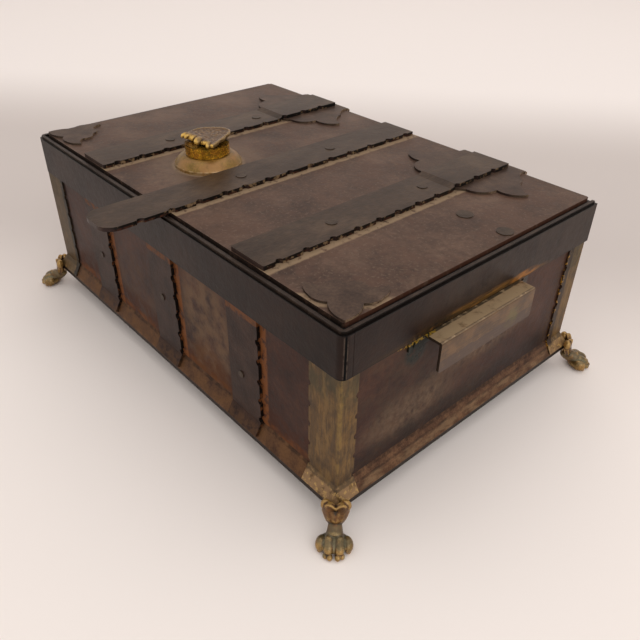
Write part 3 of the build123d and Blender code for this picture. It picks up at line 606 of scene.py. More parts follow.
WALL = IronFinish(
    "wall_patina",
    deep=linear(0.143, 0.069, 0.043),
    middle=linear(0.209, 0.113, 0.078),
    pale=linear(0.275, 0.164, 0.112),
    roughness=0.42,
    blot=26.0,
    metallic=0.1,
    marks=(
        Mark(
            TAN, 0.5, (Ball((41.0, -96.0, 58.0), 16.0, soft=16.0, drawn=(1.0, 1.0, 1.6)),),
            blot=9.0, share=0.62, soft=0.3, rough=0.2, seed=4.0,
        ),
        Mark(
            linear(0.36, 0.28, 0.22), 0.4, (Ball((-36.0, -96.0, 50.0), 16.0, soft=16.0),),
            blot=9.0, soft=0.3, rough=0.2, seed=9.0,
        ),
        Mark(
            TAN, 0.12, (RIGHT_WALL, Slant(90.0, -72.0, 10.0, soft=30.0)),
            blot=11.0, share=0.46, soft=0.3, rough=0.2, seed=4.0, drawn=(1.0, 1.8, 1.0),
        ),
        Mark(
            DUST, 0.42, (Ball((148.0, -46.0, 45.0), 4.0, soft=15.0, drawn=(1.0, 2.6, 1.0)),),
            blot=3.4, soft=0.7, rough=0.2, seed=6.0,
        ),
        Mark(
            DUST, 0.36, (Ball((148.0, 10.0, 60.0), 3.0, soft=9.0, drawn=(1.0, 5.0, 1.0)),),
            blot=3.0, soft=0.4, rough=0.2, seed=8.0,
        ),
        # Darker towards the bottom of the right wall.
        Mark(
            NEAR_BLACK, 0.55, (RIGHT_WALL, Span(Axis.Z, 10.0, 32.0, soft=9.0)),
            blot=9.0, share=0.8, soft=0.3, seed=1.0,
        ),
        Mark(
            RUST_DARK, 0.6, (OUTSIDE_FRONT, Span(Axis.Z, 10.0, 36.0, soft=9.0)),
            blot=9.0, share=0.6, soft=0.2, rough=0.2,
        ),
        Mark(
            RUST, 0.6, (OUTSIDE_FRONT, Span(Axis.Z, 10.0, 27.5, soft=4.0, ragged=2.0)),
            blot=7.0, share=0.6, soft=0.3, rough=0.3, seed=2.0,
        ),
        Mark(
            linear(0.33, 0.20, 0.11), 0.6, (OUTSIDE_FRONT, Ball((41.0, -96.0, 30.0), 12.0, soft=12.0)),
            blot=9.0, share=0.8, soft=0.3, rough=0.2, seed=3.0,
        ),
        # Painted shadow: a near-black line on the front wall beside the right-hand edge of the front-left
        # corner angle.
        Mark(
            NEAR_BLACK, 0.6, (OUTSIDE_FRONT, Span(Axis.X, -128.0, -126.0, soft=1.0, ragged=1.2)),
            blot=3.0, share=0.7,
        ),
        # Painted shadow with verdigris: the green-black patch on the right wall under the left end of the
        # handle's top leaf.
        Mark(
            SHADOW_AND_VERDIGRIS, 0.95, (Ball((148.0, -48.0, 82.5), 5.5, soft=4.0),),
            blot=3.0, share=0.8, soft=0.2, rough=-0.15, seed=3.0,
        ),
        Mark(
            YELLOW_SPECK, 0.8, (Ball((148.0, -52.0, 90.0), 1.6, soft=1.6, drawn=(1.0, 4.0, 1.0)),),
            blot=1.3, share=0.42, soft=0.1, seed=5.0,
        ),
        Mark(
            linear(0.30, 0.20, 0.10), 0.4,
            (RIGHT_SHEET, Ball((148.0, 80.0, 55.0), 3.0, soft=5.0, drawn=(1.0, 1.0, 8.0))),
            blot=2.2, soft=0.15, rough=0.1, seed=7.0,
        ),
    )
    + strap_edge_marks(reach=3.6, colour=RUST, strength=0.85, share=0.72, within=(OUTSIDE_FRONT,)),
)

LID = IronFinish(
    "lid_patina",
    deep=linear(0.218, 0.155, 0.124),
    middle=linear(0.299, 0.220, 0.176),
    pale=linear(0.381, 0.292, 0.237),
    roughness=0.40,
    blot=30.0,
    metallic=0.15,
    marks=(
        Mark(linear(0.34, 0.24, 0.19), 0.4, blot=18.0, share=0.4, soft=0.14, rough=0.05, seed=6.0),
        Mark(linear(0.43, 0.36, 0.30), 0.45, blot=1.7, share=0.22, soft=0.08, rough=0.1, seed=2.0),
        Mark(
            DUST, 0.75, (Ball(KNOB_PLACE, FLANGE_RIM + 0.6, soft=2.4), TOP_FACE),
            blot=5.0, share=0.9, soft=0.3, rough=0.2, seed=1.0,
        ),
        Mark(
            linear(0.46, 0.38, 0.31), 0.4, (Ball(KNOB_PLACE, FLANGE_RIM + 8.0, soft=12.0), TOP_FACE),
            blot=9.0, share=0.7, soft=0.3, rough=0.1, seed=1.5,
        ),
        Mark(
            DUST, 0.7, (Slant(-45.0, 148.0, 156.0, soft=2.0), TOP_FACE),
            blot=3.0, share=0.8, soft=0.25, rough=0.2, seed=1.2,
        ),
        Mark(RUST_DARK, 0.85, (Facing(Axis.X, 0.3, 0.7),), blot=4.0, share=0.85, soft=0.3, rough=0.2),
        # Painted shade: the plate's faces that look to the front, its front edge among them, turn near black.
        Mark(NEAR_BLACK, 0.8, (Facing(Axis.Y, -0.3, -0.7),), blot=4.0, share=0.85, soft=0.3, rough=0.2),
    )
    + strap_edge_marks(reach=3.4, colour=DUST, strength=0.85, share=0.8, within=(TOP_FACE,)),
)

STRAP = IronFinish(
    "strap_iron",
    deep=linear(0.185, 0.141, 0.110),
    middle=linear(0.248, 0.194, 0.155),
    pale=linear(0.323, 0.258, 0.204),
    roughness=0.38,
    blot=16.0,
    stretch=(1.0, 2.2, 1.0),
    metallic=0.2,
    marks=(
        # Painted shade: the right-hand side faces of the straps turn near black, as in shadow.
        Mark(NEAR_BLACK, 0.96, (RIGHT_EDGE,), blot=4.0, share=1.0),
        Mark(
            RUST_DARK, 0.8, (RIGHT_EDGE, Span(Axis.Z, 110.0, 118.4, soft=0.5)),
            blot=3.0, share=0.45, soft=0.2, rough=0.3, seed=2.0,
        ),
        Mark(PALE_DUST, 0.8, (RIGHT_EDGE,), blot=4.2, share=0.26, soft=0.1, rough=0.3, seed=4.0),
        # Painted shade: the faces that look to the front are darker.
        Mark(linear(0.20, 0.14, 0.13), 0.6, (FRONT_EDGE,), blot=4.0, share=1.0),
    ),
)

LEAF = IronFinish(
    "leaf_iron",
    deep=linear(0.201, 0.148, 0.118),
    middle=linear(0.270, 0.204, 0.165),
    pale=linear(0.343, 0.268, 0.216),
    roughness=0.40,
    blot=12.0,
    metallic=0.15,
    marks=(
        Mark(DUST, 0.6, (RIGHT_EDGE,), blot=2.5, share=0.6, soft=0.2, rough=0.2),
        # Painted shadow: the faces of the leaves and ornaments that look to the front are dark, as a thin
        # shadow along them.
        Mark(linear(0.14, 0.11, 0.10), 0.7, (FRONT_EDGE,), blot=2.5, share=0.8, soft=0.2, rough=0.2),
    ),
)

RIVET = IronFinish(
    "rivet_iron",
    deep=linear(0.184, 0.143, 0.115),
    middle=linear(0.246, 0.197, 0.158),
    pale=linear(0.311, 0.256, 0.205),
    roughness=0.4,
    blot=6.0,
    metallic=0.15,
)

FRONT_STRAP = IronFinish(
    "front_strap_iron",
    deep=linear(0.133, 0.078, 0.058),
    middle=linear(0.184, 0.117, 0.088),
    pale=linear(0.236, 0.157, 0.121),
    roughness=0.42,
    blot=12.0,
    metallic=0.15,
    marks=(
        # Painted shade: the right-hand side faces of the straps turn near black, as in shadow.
        Mark(NEAR_BLACK, 0.96, (RIGHT_EDGE,), blot=4.0, share=1.0),
        Mark(RUST, 0.6, (RIGHT_EDGE,), blot=3.0, share=0.22, soft=0.1, rough=0.3, seed=4.0),
        Mark(
            linear(0.36, 0.25, 0.16), 0.5, (Span(Axis.Z, 14.0, 21.0, soft=5.0, ragged=1.5),),
            blot=4.0, share=0.6, soft=0.2, rough=0.2,
        ),
        Mark(
            RUST, 0.6, (Span(Axis.Z, 88.5, 92.0, soft=0.8, ragged=0.8),),
            blot=4.0, share=0.7, soft=0.2, rough=0.2,
        ),
    ),
)

COLLAR = IronFinish(
    "collar_patina",
    deep=linear(0.095, 0.053, 0.037),
    middle=linear(0.128, 0.077, 0.056),
    pale=linear(0.166, 0.105, 0.076),
    roughness=0.36,
    blot=30.0,
    metallic=0.15,
    marks=(
        Mark(
            linear(0.30, 0.25, 0.21), 0.25, (COLLAR_RIGHT, Slant(90.0, -20.0, 99.0, soft=40.0)),
            blot=12.0, share=0.6, soft=0.3, rough=0.1, seed=2.0,
        ),
        # Painted reflection: golden streaks along the lower edge of the right collar, just above the handle,
        # with a dimmer part and a bright spot further back.
        Mark(
            linear(0.50, 0.34, 0.14), 0.85,
            (COLLAR_RIGHT, Ball((150.0, -2.0, 92.0), 2.2, drawn=(1.0, 14.0, 1.0))),
            blot=2.6, share=0.6, soft=0.2, rough=0.1, seed=3.0, drawn=(1.0, 7.0, 1.0),
        ),
        Mark(
            linear(0.28, 0.20, 0.08), 0.8,
            (COLLAR_RIGHT, Ball((150.0, -20.0, 91.8), 1.6, drawn=(1.0, 16.0, 1.0))),
            blot=2.2, share=0.6, soft=0.16, rough=0.1, seed=5.0, drawn=(1.0, 6.0, 1.0),
        ),
        Mark(
            linear(0.66, 0.42, 0.17), 0.7,
            (COLLAR_RIGHT, Ball((150.0, 34.0, 93.5), 1.2, soft=2.0, drawn=(1.0, 5.0, 1.0))),
            blot=2.6, share=0.7, soft=0.3, rough=0.1, seed=4.0, drawn=(1.0, 4.0, 1.0),
        ),
        # A near-black spot on the lower edge of the right collar.
        Mark(
            NEAR_BLACK, 0.85, (COLLAR_RIGHT, Ball((150.0, -40.0, 91.5), 2.0, soft=4.0, drawn=(1.0, 5.0, 1.0))),
            blot=3.0, share=0.7, soft=0.2,
        ),
        Mark(
            linear(0.33, 0.28, 0.24), 0.5, (COLLAR_END, Span(Axis.Y, -97.0, -95.3, soft=0.3, ragged=0.2)),
            blot=3.0, share=0.6,
        ),
        Mark(
            linear(0.004, 0.003, 0.003), 1.0,
            (COLLAR_END, Span(Axis.Y, -96.6, -95.8, soft=0.12, ragged=0.2)),
            blot=8.0, share=1.0, rough=0.5,
        ),
        # A near-black line along the collar's top edge.
        Mark(NEAR_BLACK, 0.8, (Span(Axis.Z, 114.6, 115.3, soft=0.15),), blot=8.0, share=1.0),
        # A near-black line along the collar's lower edge.
        Mark(NEAR_BLACK, 0.6, (Span(Axis.Z, 91.0, 91.9, soft=0.5),), blot=8.0, share=1.0),
    ),
)

LIP = IronFinish(
    "lip_edging",
    deep=linear(0.136, 0.101, 0.081),
    middle=linear(0.182, 0.139, 0.112),
    pale=linear(0.246, 0.193, 0.156),
    roughness=0.35,
    blot=12.0,
    metallic=0.2,
    # Painted shade: the lip's faces that look to the right turn near black.
    marks=(Mark(NEAR_BLACK, 0.8, (RIGHT_EDGE,), blot=8.0, share=1.0),),
)

# Painted shade: the ledge under the lid's edge is near black all over, standing for the shadowed gap under
# the plate.
LEDGE = IronFinish(
    "ledge_painted_shade",
    deep=NEAR_BLACK,
    middle=linear(0.06, 0.05, 0.045),
    pale=linear(0.09, 0.075, 0.07),
    roughness=0.7,
    metallic=0.0,
)

MOULDING = IronFinish(
    "moulding_patina",
    deep=linear(0.228, 0.142, 0.093),
    middle=linear(0.330, 0.224, 0.152),
    pale=linear(0.431, 0.309, 0.215),
    roughness=0.48,
    blot=9.0,
    metallic=0.1,
    marks=(
        Mark(
            PALE_DUST, 0.45, (MOULDING_RIGHT, Span(Axis.Z, 16.0, 20.0, soft=1.2, ragged=0.8)),
            blot=4.0, share=0.4, soft=0.2, rough=0.1, seed=8.0, drawn=(1.0, 3.4, 1.0),
        ),
        Mark(
            linear(0.12, 0.09, 0.08), 0.5,
            (MOULDING_RIGHT, Span(Axis.Z, 20.4, 21.0, soft=0.6, ragged=0.5)),
            blot=9.0, share=0.6, soft=0.3, rough=0.1, seed=3.0,
        ),
        Mark(linear(0.10, 0.08, 0.07), 0.9, (Span(Axis.Z, 10.0, 15.6, soft=0.4),), share=1.0),
        Mark(
            linear(0.36, 0.24, 0.13), 0.6,
            (Span(Axis.Y, -110.0, -90.0), Span(Axis.Z, 18.0, 30.0, soft=3.0, ragged=1.0)),
            blot=9.0, share=0.6, soft=0.4, rough=0.2,
        ),
        # Darker in ragged blots along the top of the moulding.
        Mark(
            NEAR_BLACK, 0.5, (Span(Axis.Z, 23.6, 30.0, soft=0.8, ragged=0.8),),
            blot=4.0, share=0.6, soft=0.2, rough=0.1, seed=6.0,
        ),
    ),
)

INSIDE = IronFinish(
    "inside_iron",
    deep=linear(0.16, 0.13, 0.115),
    middle=linear(0.22, 0.185, 0.16),
    pale=linear(0.28, 0.24, 0.21),
    roughness=0.6,
)

SHEET_BRASS = BrassFinish(
    "corner_brass",
    bright=linear(0.417, 0.301, 0.138),
    dull=linear(0.318, 0.225, 0.106),
    dark=linear(0.218, 0.148, 0.072),
    roughness=0.46,
    brushing=(1.0, 1.0, 14.0),
    metallic=0.15,
    specular=0.3,
    marks=(
        # Painted light: the upturned flare at the foot of each angle is lighter, as it faces up, with painted
        # highlights in small yellow flecks.
        Mark(
            linear(0.54, 0.42, 0.29), 0.85, (Span(Axis.Z, 13.0, 24.5, soft=1.0, ragged=1.0),),
            blot=4.0, share=0.75, soft=0.25, rough=0.05,
        ),
        Mark(
            linear(0.72, 0.58, 0.34), 0.6, (Span(Axis.Z, 13.0, 24.0, soft=1.0),),
            blot=2.0, share=0.28, soft=0.1, rough=-0.1, seed=5.0,
        ),
        Mark(
            linear(0.24, 0.185, 0.12), 0.7, (Span(Axis.Z, 23.2, 25.6, soft=0.8, ragged=0.5),),
            blot=3.0, share=0.8, soft=0.2, rough=0.1,
        ),
        Mark(
            linear(0.33, 0.27, 0.17), 0.6,
            (Span(Axis.X, 149.5, 160.0, soft=0.4), Span(Axis.Z, 26.0, 100.0)),
            blot=12.0, share=0.7, soft=0.3,
        ),
        Mark(
            linear(0.22, 0.205, 0.13), 0.6, (Span(Axis.Z, 78.0, 95.0, soft=8.0),),
            share=0.65, soft=0.25, rough=0.1, seed=4.0,
        ),
        # Painted highlight: a thin light line down the near corner's edge.
        Mark(
            linear(0.54, 0.43, 0.18), 0.5,
            (Ball((149.0, -97.5, 66.0), 0.9, soft=1.4, drawn=(1.0, 1.0, 22.0)),),
            blot=4.0, soft=0.3,
        ),
        Mark(
            linear(0.25, 0.18, 0.10), 0.5, (ANGLE_UPRIGHT,),
            blot=1.5, share=0.3, rough=0.1, seed=9.0, drawn=(1.0, 1.0, 3.5),
        ),
        Mark(
            linear(0.50, 0.38, 0.20), 0.4, (ANGLE_UPRIGHT,),
            blot=3.0, share=0.35, soft=0.2, seed=6.0, drawn=(1.0, 1.0, 4.0),
        ),
        # Painted shade on the side faces of the near angle's nibbled edges, with painted glints of yellow on
        # the left-hand ones.
        Mark(linear(0.09, 0.06, 0.03), 0.9, (LEFT_EDGE, RIGHT_FRONT_LEAF), blot=3.0, share=1.0),
        Mark(
            linear(0.62, 0.46, 0.14), 0.7, (LEFT_EDGE, RIGHT_FRONT_LEAF),
            blot=2.0, share=0.34, soft=0.1, seed=3.0,
        ),
        Mark(
            linear(0.10, 0.07, 0.035), 0.9, (Facing(Axis.Y, 0.3, 0.6), Span(Axis.Y, -92.0, -70.0)),
            blot=3.0, share=1.0,
        ),
        # Painted shade along the front edge of the rear-right angle's side leaf, with painted glints of
        # yellow in it.
        Mark(BRASS_SHADE, 0.9, (FRONT_EDGE, Span(Axis.Y, 60.0, 95.0)), blot=3.0, share=1.0),
        Mark(
            linear(0.15, 0.085, 0.04), 0.95,
            (RIGHT_SHEET, Span(Axis.Y, 78.0, 86.5, soft=1.5, ragged=1.0)),
            blot=4.0, share=0.9, soft=0.2,
        ),
        Mark(
            linear(0.70, 0.50, 0.16), 0.8, (RIGHT_SHEET, Span(Axis.Y, 80.5, 83.6, soft=0.6)),
            blot=2.2, share=0.3, soft=0.1, seed=5.0,
        ),
        Mark(
            linear(0.25, 0.19, 0.10), 0.75, (Span(Axis.X, -156.0, -120.0),),
            share=0.95, soft=0.3, seed=2.0,
        ),
        # Painted shadow: near black along the right-hand edge of the left corner angles.
        Mark(
            linear(0.06, 0.04, 0.02), 0.9, (Span(Axis.X, -131.5, -120.0, soft=0.8, ragged=1.2),),
            blot=3.0, share=0.8, soft=0.2, seed=6.0,
        ),
    ),
)

HANDLE_BRASS = BrassFinish(
    "handle_brass",
    bright=linear(0.415, 0.300, 0.181),
    dull=linear(0.334, 0.237, 0.137),
    dark=linear(0.254, 0.173, 0.099),
    roughness=0.42,
    brushing=(1.0, 10.0, 1.0),
    metallic=0.3,
    marks=(
        Mark(linear(0.66, 0.56, 0.43), 0.85, (HANDLE_TOP,), share=0.9, soft=0.3, rough=-0.05, seed=2.0),
        Mark(
            linear(0.33, 0.25, 0.18), 0.7, (HANDLE_TOP, Span(Axis.X, 158.8, 163.0, soft=0.5)),
            blot=3.0, share=0.7, soft=0.2,
        ),
        Mark(
            linear(0.30, 0.235, 0.20), 0.85,
            (HANDLE_FACE, Span(Axis.Z, 60.0, 80.5, soft=0.5, ragged=2.2)),
            blot=5.0, share=0.9, soft=0.3, rough=0.1, seed=3.0,
        ),
        Mark(
            linear(0.36, 0.33, 0.16), 0.6, (HANDLE_FACE, Ball((160.0, 12.0, 82.0), 4.0, soft=4.0)),
            blot=3.0, share=0.6, soft=0.2, seed=1.0,
        ),
        # Painted shade: the handle's faces that look to the front are dark.
        Mark(linear(0.14, 0.10, 0.075), 0.9, (Facing(Axis.Y, -0.3, -0.7),), blot=3.0, share=1.0),
        Mark(
            BRASS_SHADE, 0.85, (Span(Axis.X, 149.0, 151.4, soft=0.5),),
            blot=4.0, share=0.75, soft=0.2, seed=2.0,
        ),
        # Painted shadow with verdigris on the handle's flange, under the left end of its top leaf.
        Mark(
            SHADOW_AND_VERDIGRIS, 0.95, (HANDLE_FLANGE, Span(Axis.Y, -60.0, -43.0, soft=3.0)),
            blot=3.0, share=1.0,
        ),
        Mark(
            YELLOW_SPECK, 0.85,
            (HANDLE_FLANGE, Span(Axis.Y, -60.0, -40.0, soft=3.0), Span(Axis.Z, 88.8, 93.0, soft=0.8)),
            blot=1.5, soft=0.1, seed=4.0,
        ),
    ),
)

CAST_BRASS = BrassFinish(
    "cast_brass",
    bright=linear(0.445, 0.289, 0.145),
    dull=linear(0.354, 0.236, 0.120),
    dark=linear(0.258, 0.162, 0.077),
    roughness=0.34,
    blot=5.0,
    dent=0.06,
    metallic=0.5,
    hollows=linear(0.20, 0.155, 0.095),
    ridges=WORN_BRASS,
    grooves=linear(0.53, 0.50, 0.38),
    marks=(
        Mark(
            linear(0.38, 0.355, 0.27), 0.6, (Span(Axis.Z, 6.4, 10.0, soft=1.2),),
            blot=4.0, share=0.75, soft=0.3, rough=0.1, seed=2.0,
        ),
        Mark(
            linear(0.27, 0.23, 0.13), 0.55, (Span(Axis.Z, 2.2, 8.0, soft=1.0),),
            blot=5.0, share=0.45, soft=0.2, seed=5.0,
        ),
        Mark(
            WORN_BRASS, 0.5, (Span(Axis.Z, 0.0, 4.6, soft=1.0),),
            blot=3.0, share=0.35, soft=0.3, rough=-0.1, seed=8.0,
        ),
    ),
)

CAP_BRASS = BrassFinish(
    "cap_brass",
    bright=linear(0.405, 0.278, 0.116),
    dull=linear(0.328, 0.218, 0.084),
    dark=linear(0.215, 0.134, 0.043),
    roughness=0.32,
    blot=2.2,
    dent=0.22,
    metallic=0.5,
    hollows=linear(0.21, 0.15, 0.085),
    ridges=linear(0.55, 0.44, 0.27),
    marks=(
        # Painted highlight: bright gold on the faces of the claws that look to the front.
        Mark(
            linear(0.90, 0.72, 0.36), 0.9,
            (Facing(Axis.Y, -0.25, -0.75), Span(Axis.Y, -60.0, -45.0, soft=1.5)),
            blot=2.0, share=0.8, soft=0.2, rough=-0.1, seed=2.0,
        ),
    ),
)

KNOB_BRASS = BrassFinish(
    "knob_brass",
    bright=linear(0.979, 0.733, 0.223),
    dull=linear(0.820, 0.594, 0.162),
    dark=linear(0.603, 0.430, 0.102),
    roughness=0.26,
    brushing=(1.4, 1.4, 1.0),
    blot=8.0,
    dent=0.05,
    metallic=0.7,
    marks=(
        Mark(linear(0.58, 0.33, 0.13), 0.6, (BARREL,), blot=5.0, share=0.38, soft=0.14, seed=3.0),
        Mark(linear(0.38, 0.38, 0.10), 0.6, (BARREL,), blot=5.0, share=0.34, soft=0.14, seed=9.0),
        # Painted shadow: a dark band round the top of the barrel, under the cap.
        Mark(
            linear(0.16, 0.10, 0.05), 0.75, (Span(Axis.Z, 130.8, 132.0, soft=0.8, ragged=0.6),),
            blot=3.0, share=0.9, soft=0.3,
        ),
    ),
)

FLANGE_BRASS = BrassFinish(
    "flange_brass",
    bright=linear(0.540, 0.415, 0.168),
    dull=linear(0.455, 0.344, 0.133),
    dark=linear(0.363, 0.264, 0.097),
    roughness=0.36,
    blot=9.0,
    metallic=0.4,
    marks=(
        Mark(
            linear(0.62, 0.44, 0.26), 0.6,
            (Span(Axis.X, -34.0, -10.0, soft=6.0), Span(Axis.Z, 117.0, 123.0)),
            blot=7.0, soft=0.25,
        ),
        # Painted highlight: a light line round the flange's outer rim.
        Mark(
            linear(0.70, 0.58, 0.42), 0.6, (Span(Axis.Z, 117.0, 119.3, soft=0.5),),
            blot=4.0, share=0.6, soft=0.2, seed=3.0,
        ),
    ),
)

STEEL = IronFinish(
    "fitting_steel",
    deep=linear(0.35, 0.34, 0.33),
    middle=linear(0.43, 0.42, 0.40),
    pale=linear(0.5, 0.49, 0.47),
    roughness=0.4,
    blot=6.0,
)


@dataclass
class Dressing:
    """Gives every solid of the box that stays in view its finish."""

    nodes: dict[str, bpy.types.Object]
    finishes: tuple[tuple[IronFinish | BrassFinish, tuple[str, ...]], ...] = (
        (WALL, ("front_wall", "rear_wall", "left_wall", "right_wall")),
        (INSIDE, ("bottom_plate",)),
        (MOULDING, ("base_moulding_",)),
        (COLLAR, ("collar_",)),
        (LIP, ("lip_",)),
        (LEDGE, ("ledge_",)),
        (FRONT_STRAP, ("front_strap_",)),
        (SHEET_BRASS, ("corner_angle_",)),
        (HANDLE_BRASS, ("handle_",)),
        (LID, ("lid_plate",)),
        (STRAP, ("lid_strap_",)),
        (LEAF, ("hinge_", "corner_ornament_")),
        (RIVET, ("lid_rivets", "front_strap_rivets")),
        (KNOB_BRASS, ("knob_barrel",)),
        (FLANGE_BRASS, ("knob_flange",)),
        (STEEL, ("knob_spindle", "latch_", "foot_screws")),
    )

    def dress(self) -> None:
        """Assign each finish to the nodes whose names start as it lists."""
        for finish, starts in self.finishes:
            material = finish.build()
            for name, node in self.nodes.items():
                if name.startswith(starts):
                    self.paint(node, material)
                    LOG.info("dressed %s with %s", name, finish.name)

    @staticmethod
    def paint(node: bpy.types.Object, material: bpy.types.Material) -> None:
        """Put one material in every slot of a node.

        Args:
            node: The solid's object.
            material: The material that it gets.
        """
        if not node.material_slots:
            node.data.materials.append(material)
        for place in node.material_slots:
            place.material = material


def upright_turn(angle: float) -> np.ndarray:
    """Return the matrix of a turn about the upright by an angle in degrees."""
    spin = math.radians(angle)
    return np.array([[math.cos(spin), -math.sin(spin), 0], [math.sin(spin), math.cos(spin), 0], [0, 0, 1]])


@dataclass
class Blob:
    """A closed egg-shaped form: its middle and three half sizes in mm, a turn and a lean in degrees."""

    middle: Point
    half: Point
    turn: float = 0.0
    lean: float = 0.0

    def grid(self, around: int = 28, rows: int = 16) -> tuple[np.ndarray, np.ndarray]:
        """Work the egg out as a whole array.

        The surface is the middle plus each half size times cos(row) cos(turn), cos(row) sin(turn)
        and sin(row), leaned about the across axis and then turned about the upright.

        Args:
            around: Points around each ring.
            rows: Rings from pole to pole.

        Returns:
            The points and the quad corner numbers.
        """
        turn = np.linspace(0.0, 2.0 * np.pi, around, endpoint=False)
        row = np.linspace(-0.5 * np.pi, 0.5 * np.pi, rows)
        rings, turns = np.meshgrid(row, turn, indexing="ij")
        local = np.stack([np.cos(rings) * np.cos(turns), np.cos(rings) * np.sin(turns), np.sin(rings)], -1)
        local = local.reshape(-1, 3) * np.array(self.half)
        lean = math.radians(self.lean)
        tip = np.array([[math.cos(lean), 0, math.sin(lean)], [0, 1, 0], [-math.sin(lean), 0, math.cos(lean)]])
        points = local @ tip.T @ upright_turn(self.turn).T + np.array(self.middle)
        return points, ring_quads(rows, around)


def ring_quads(rows: int, around: int) -> np.ndarray:
    """Number the quads between closed rings of points.

    Args:
        rows: How many rings there are.
        around: How many points each ring has.

    Returns:
        One row of four point numbers for each quad.
    """
    ring, step = np.meshgrid(np.arange(rows - 1), np.arange(around), indexing="ij")
    following = (step + 1) % around
    quads = [ring * around + step, ring * around + following]
    quads += [(ring + 1) * around + following, (ring + 1) * around + step]
    return np.stack(quads, -1).reshape(-1, 4)


@dataclass
class Stem:
    """A closed round stem along a path, with its own half width at each station.

    The askew direction only has to differ from the path's, and the ends close the more bluntly
    the higher their power is.
    """

    stations: tuple[Point, ...]
    radii: tuple[float, ...]
    askew: Point = (0.31, 0.17, 0.93)
    bluntness: int = 8

    def grid(self, around: int = 24, rows: int = 20) -> tuple[np.ndarray, np.ndarray]:
        """Work the stem out as a whole array.

        Each ring lies square to the path, with the half width between stations taken in a
        straight line, and the first and last rings shrink to close the ends.

        Args:
            around: Points around each ring.
            rows: Rings along the path.

        Returns:
            The points and the quad corner numbers.
        """
        path = np.array(self.stations)
        known = np.linspace(0.0, 1.0, len(path))
        where = np.linspace(0.0, 1.0, rows)
        middle = np.stack([np.interp(where, known, path[:, k]) for k in range(3)], -1)
        radius = np.interp(where, known, np.array(self.radii))
        ends = np.sqrt(np.clip(1.0 - np.abs(2.0 * where - 1.0) ** self.bluntness, 0.0, 1.0))
        ahead = np.gradient(middle, axis=0)
        ahead /= np.linalg.norm(ahead, axis=1, keepdims=True)
        side = np.cross(ahead, np.array(self.askew))
        side /= np.linalg.norm(side, axis=1, keepdims=True)
        rise = np.cross(ahead, side)
        turn = np.linspace(0.0, 2.0 * np.pi, around, endpoint=False)
        ring = side[:, None] * np.cos(turn)[None, :, None] + rise[:, None] * np.sin(turn)[None, :, None]
        points = middle[:, None] + ring * (radius * ends)[:, None, None]
        return points.reshape(-1, 3), ring_quads(rows, around)


@dataclass(frozen=True)
class Swell:
    """A soft rise on a shield's middle line, with places and reaches as shares of the shield."""

    height: float
    reach_across: float
    up: float
    reach_up: float

    def over(self, side: np.ndarray, up: np.ndarray) -> np.ndarray:
        """Work out the rise, a bell curve of the two distances over their reaches.

        Args:
            side: Places across, from -1 to 1.
            up: Places on the way up, from 0 to 1.

        Returns:
            The rise in millimetres.
        """
        across = (side / self.reach_across) ** 2
        return self.height * np.exp(-across - ((up - self.up) / self.reach_up) ** 2)


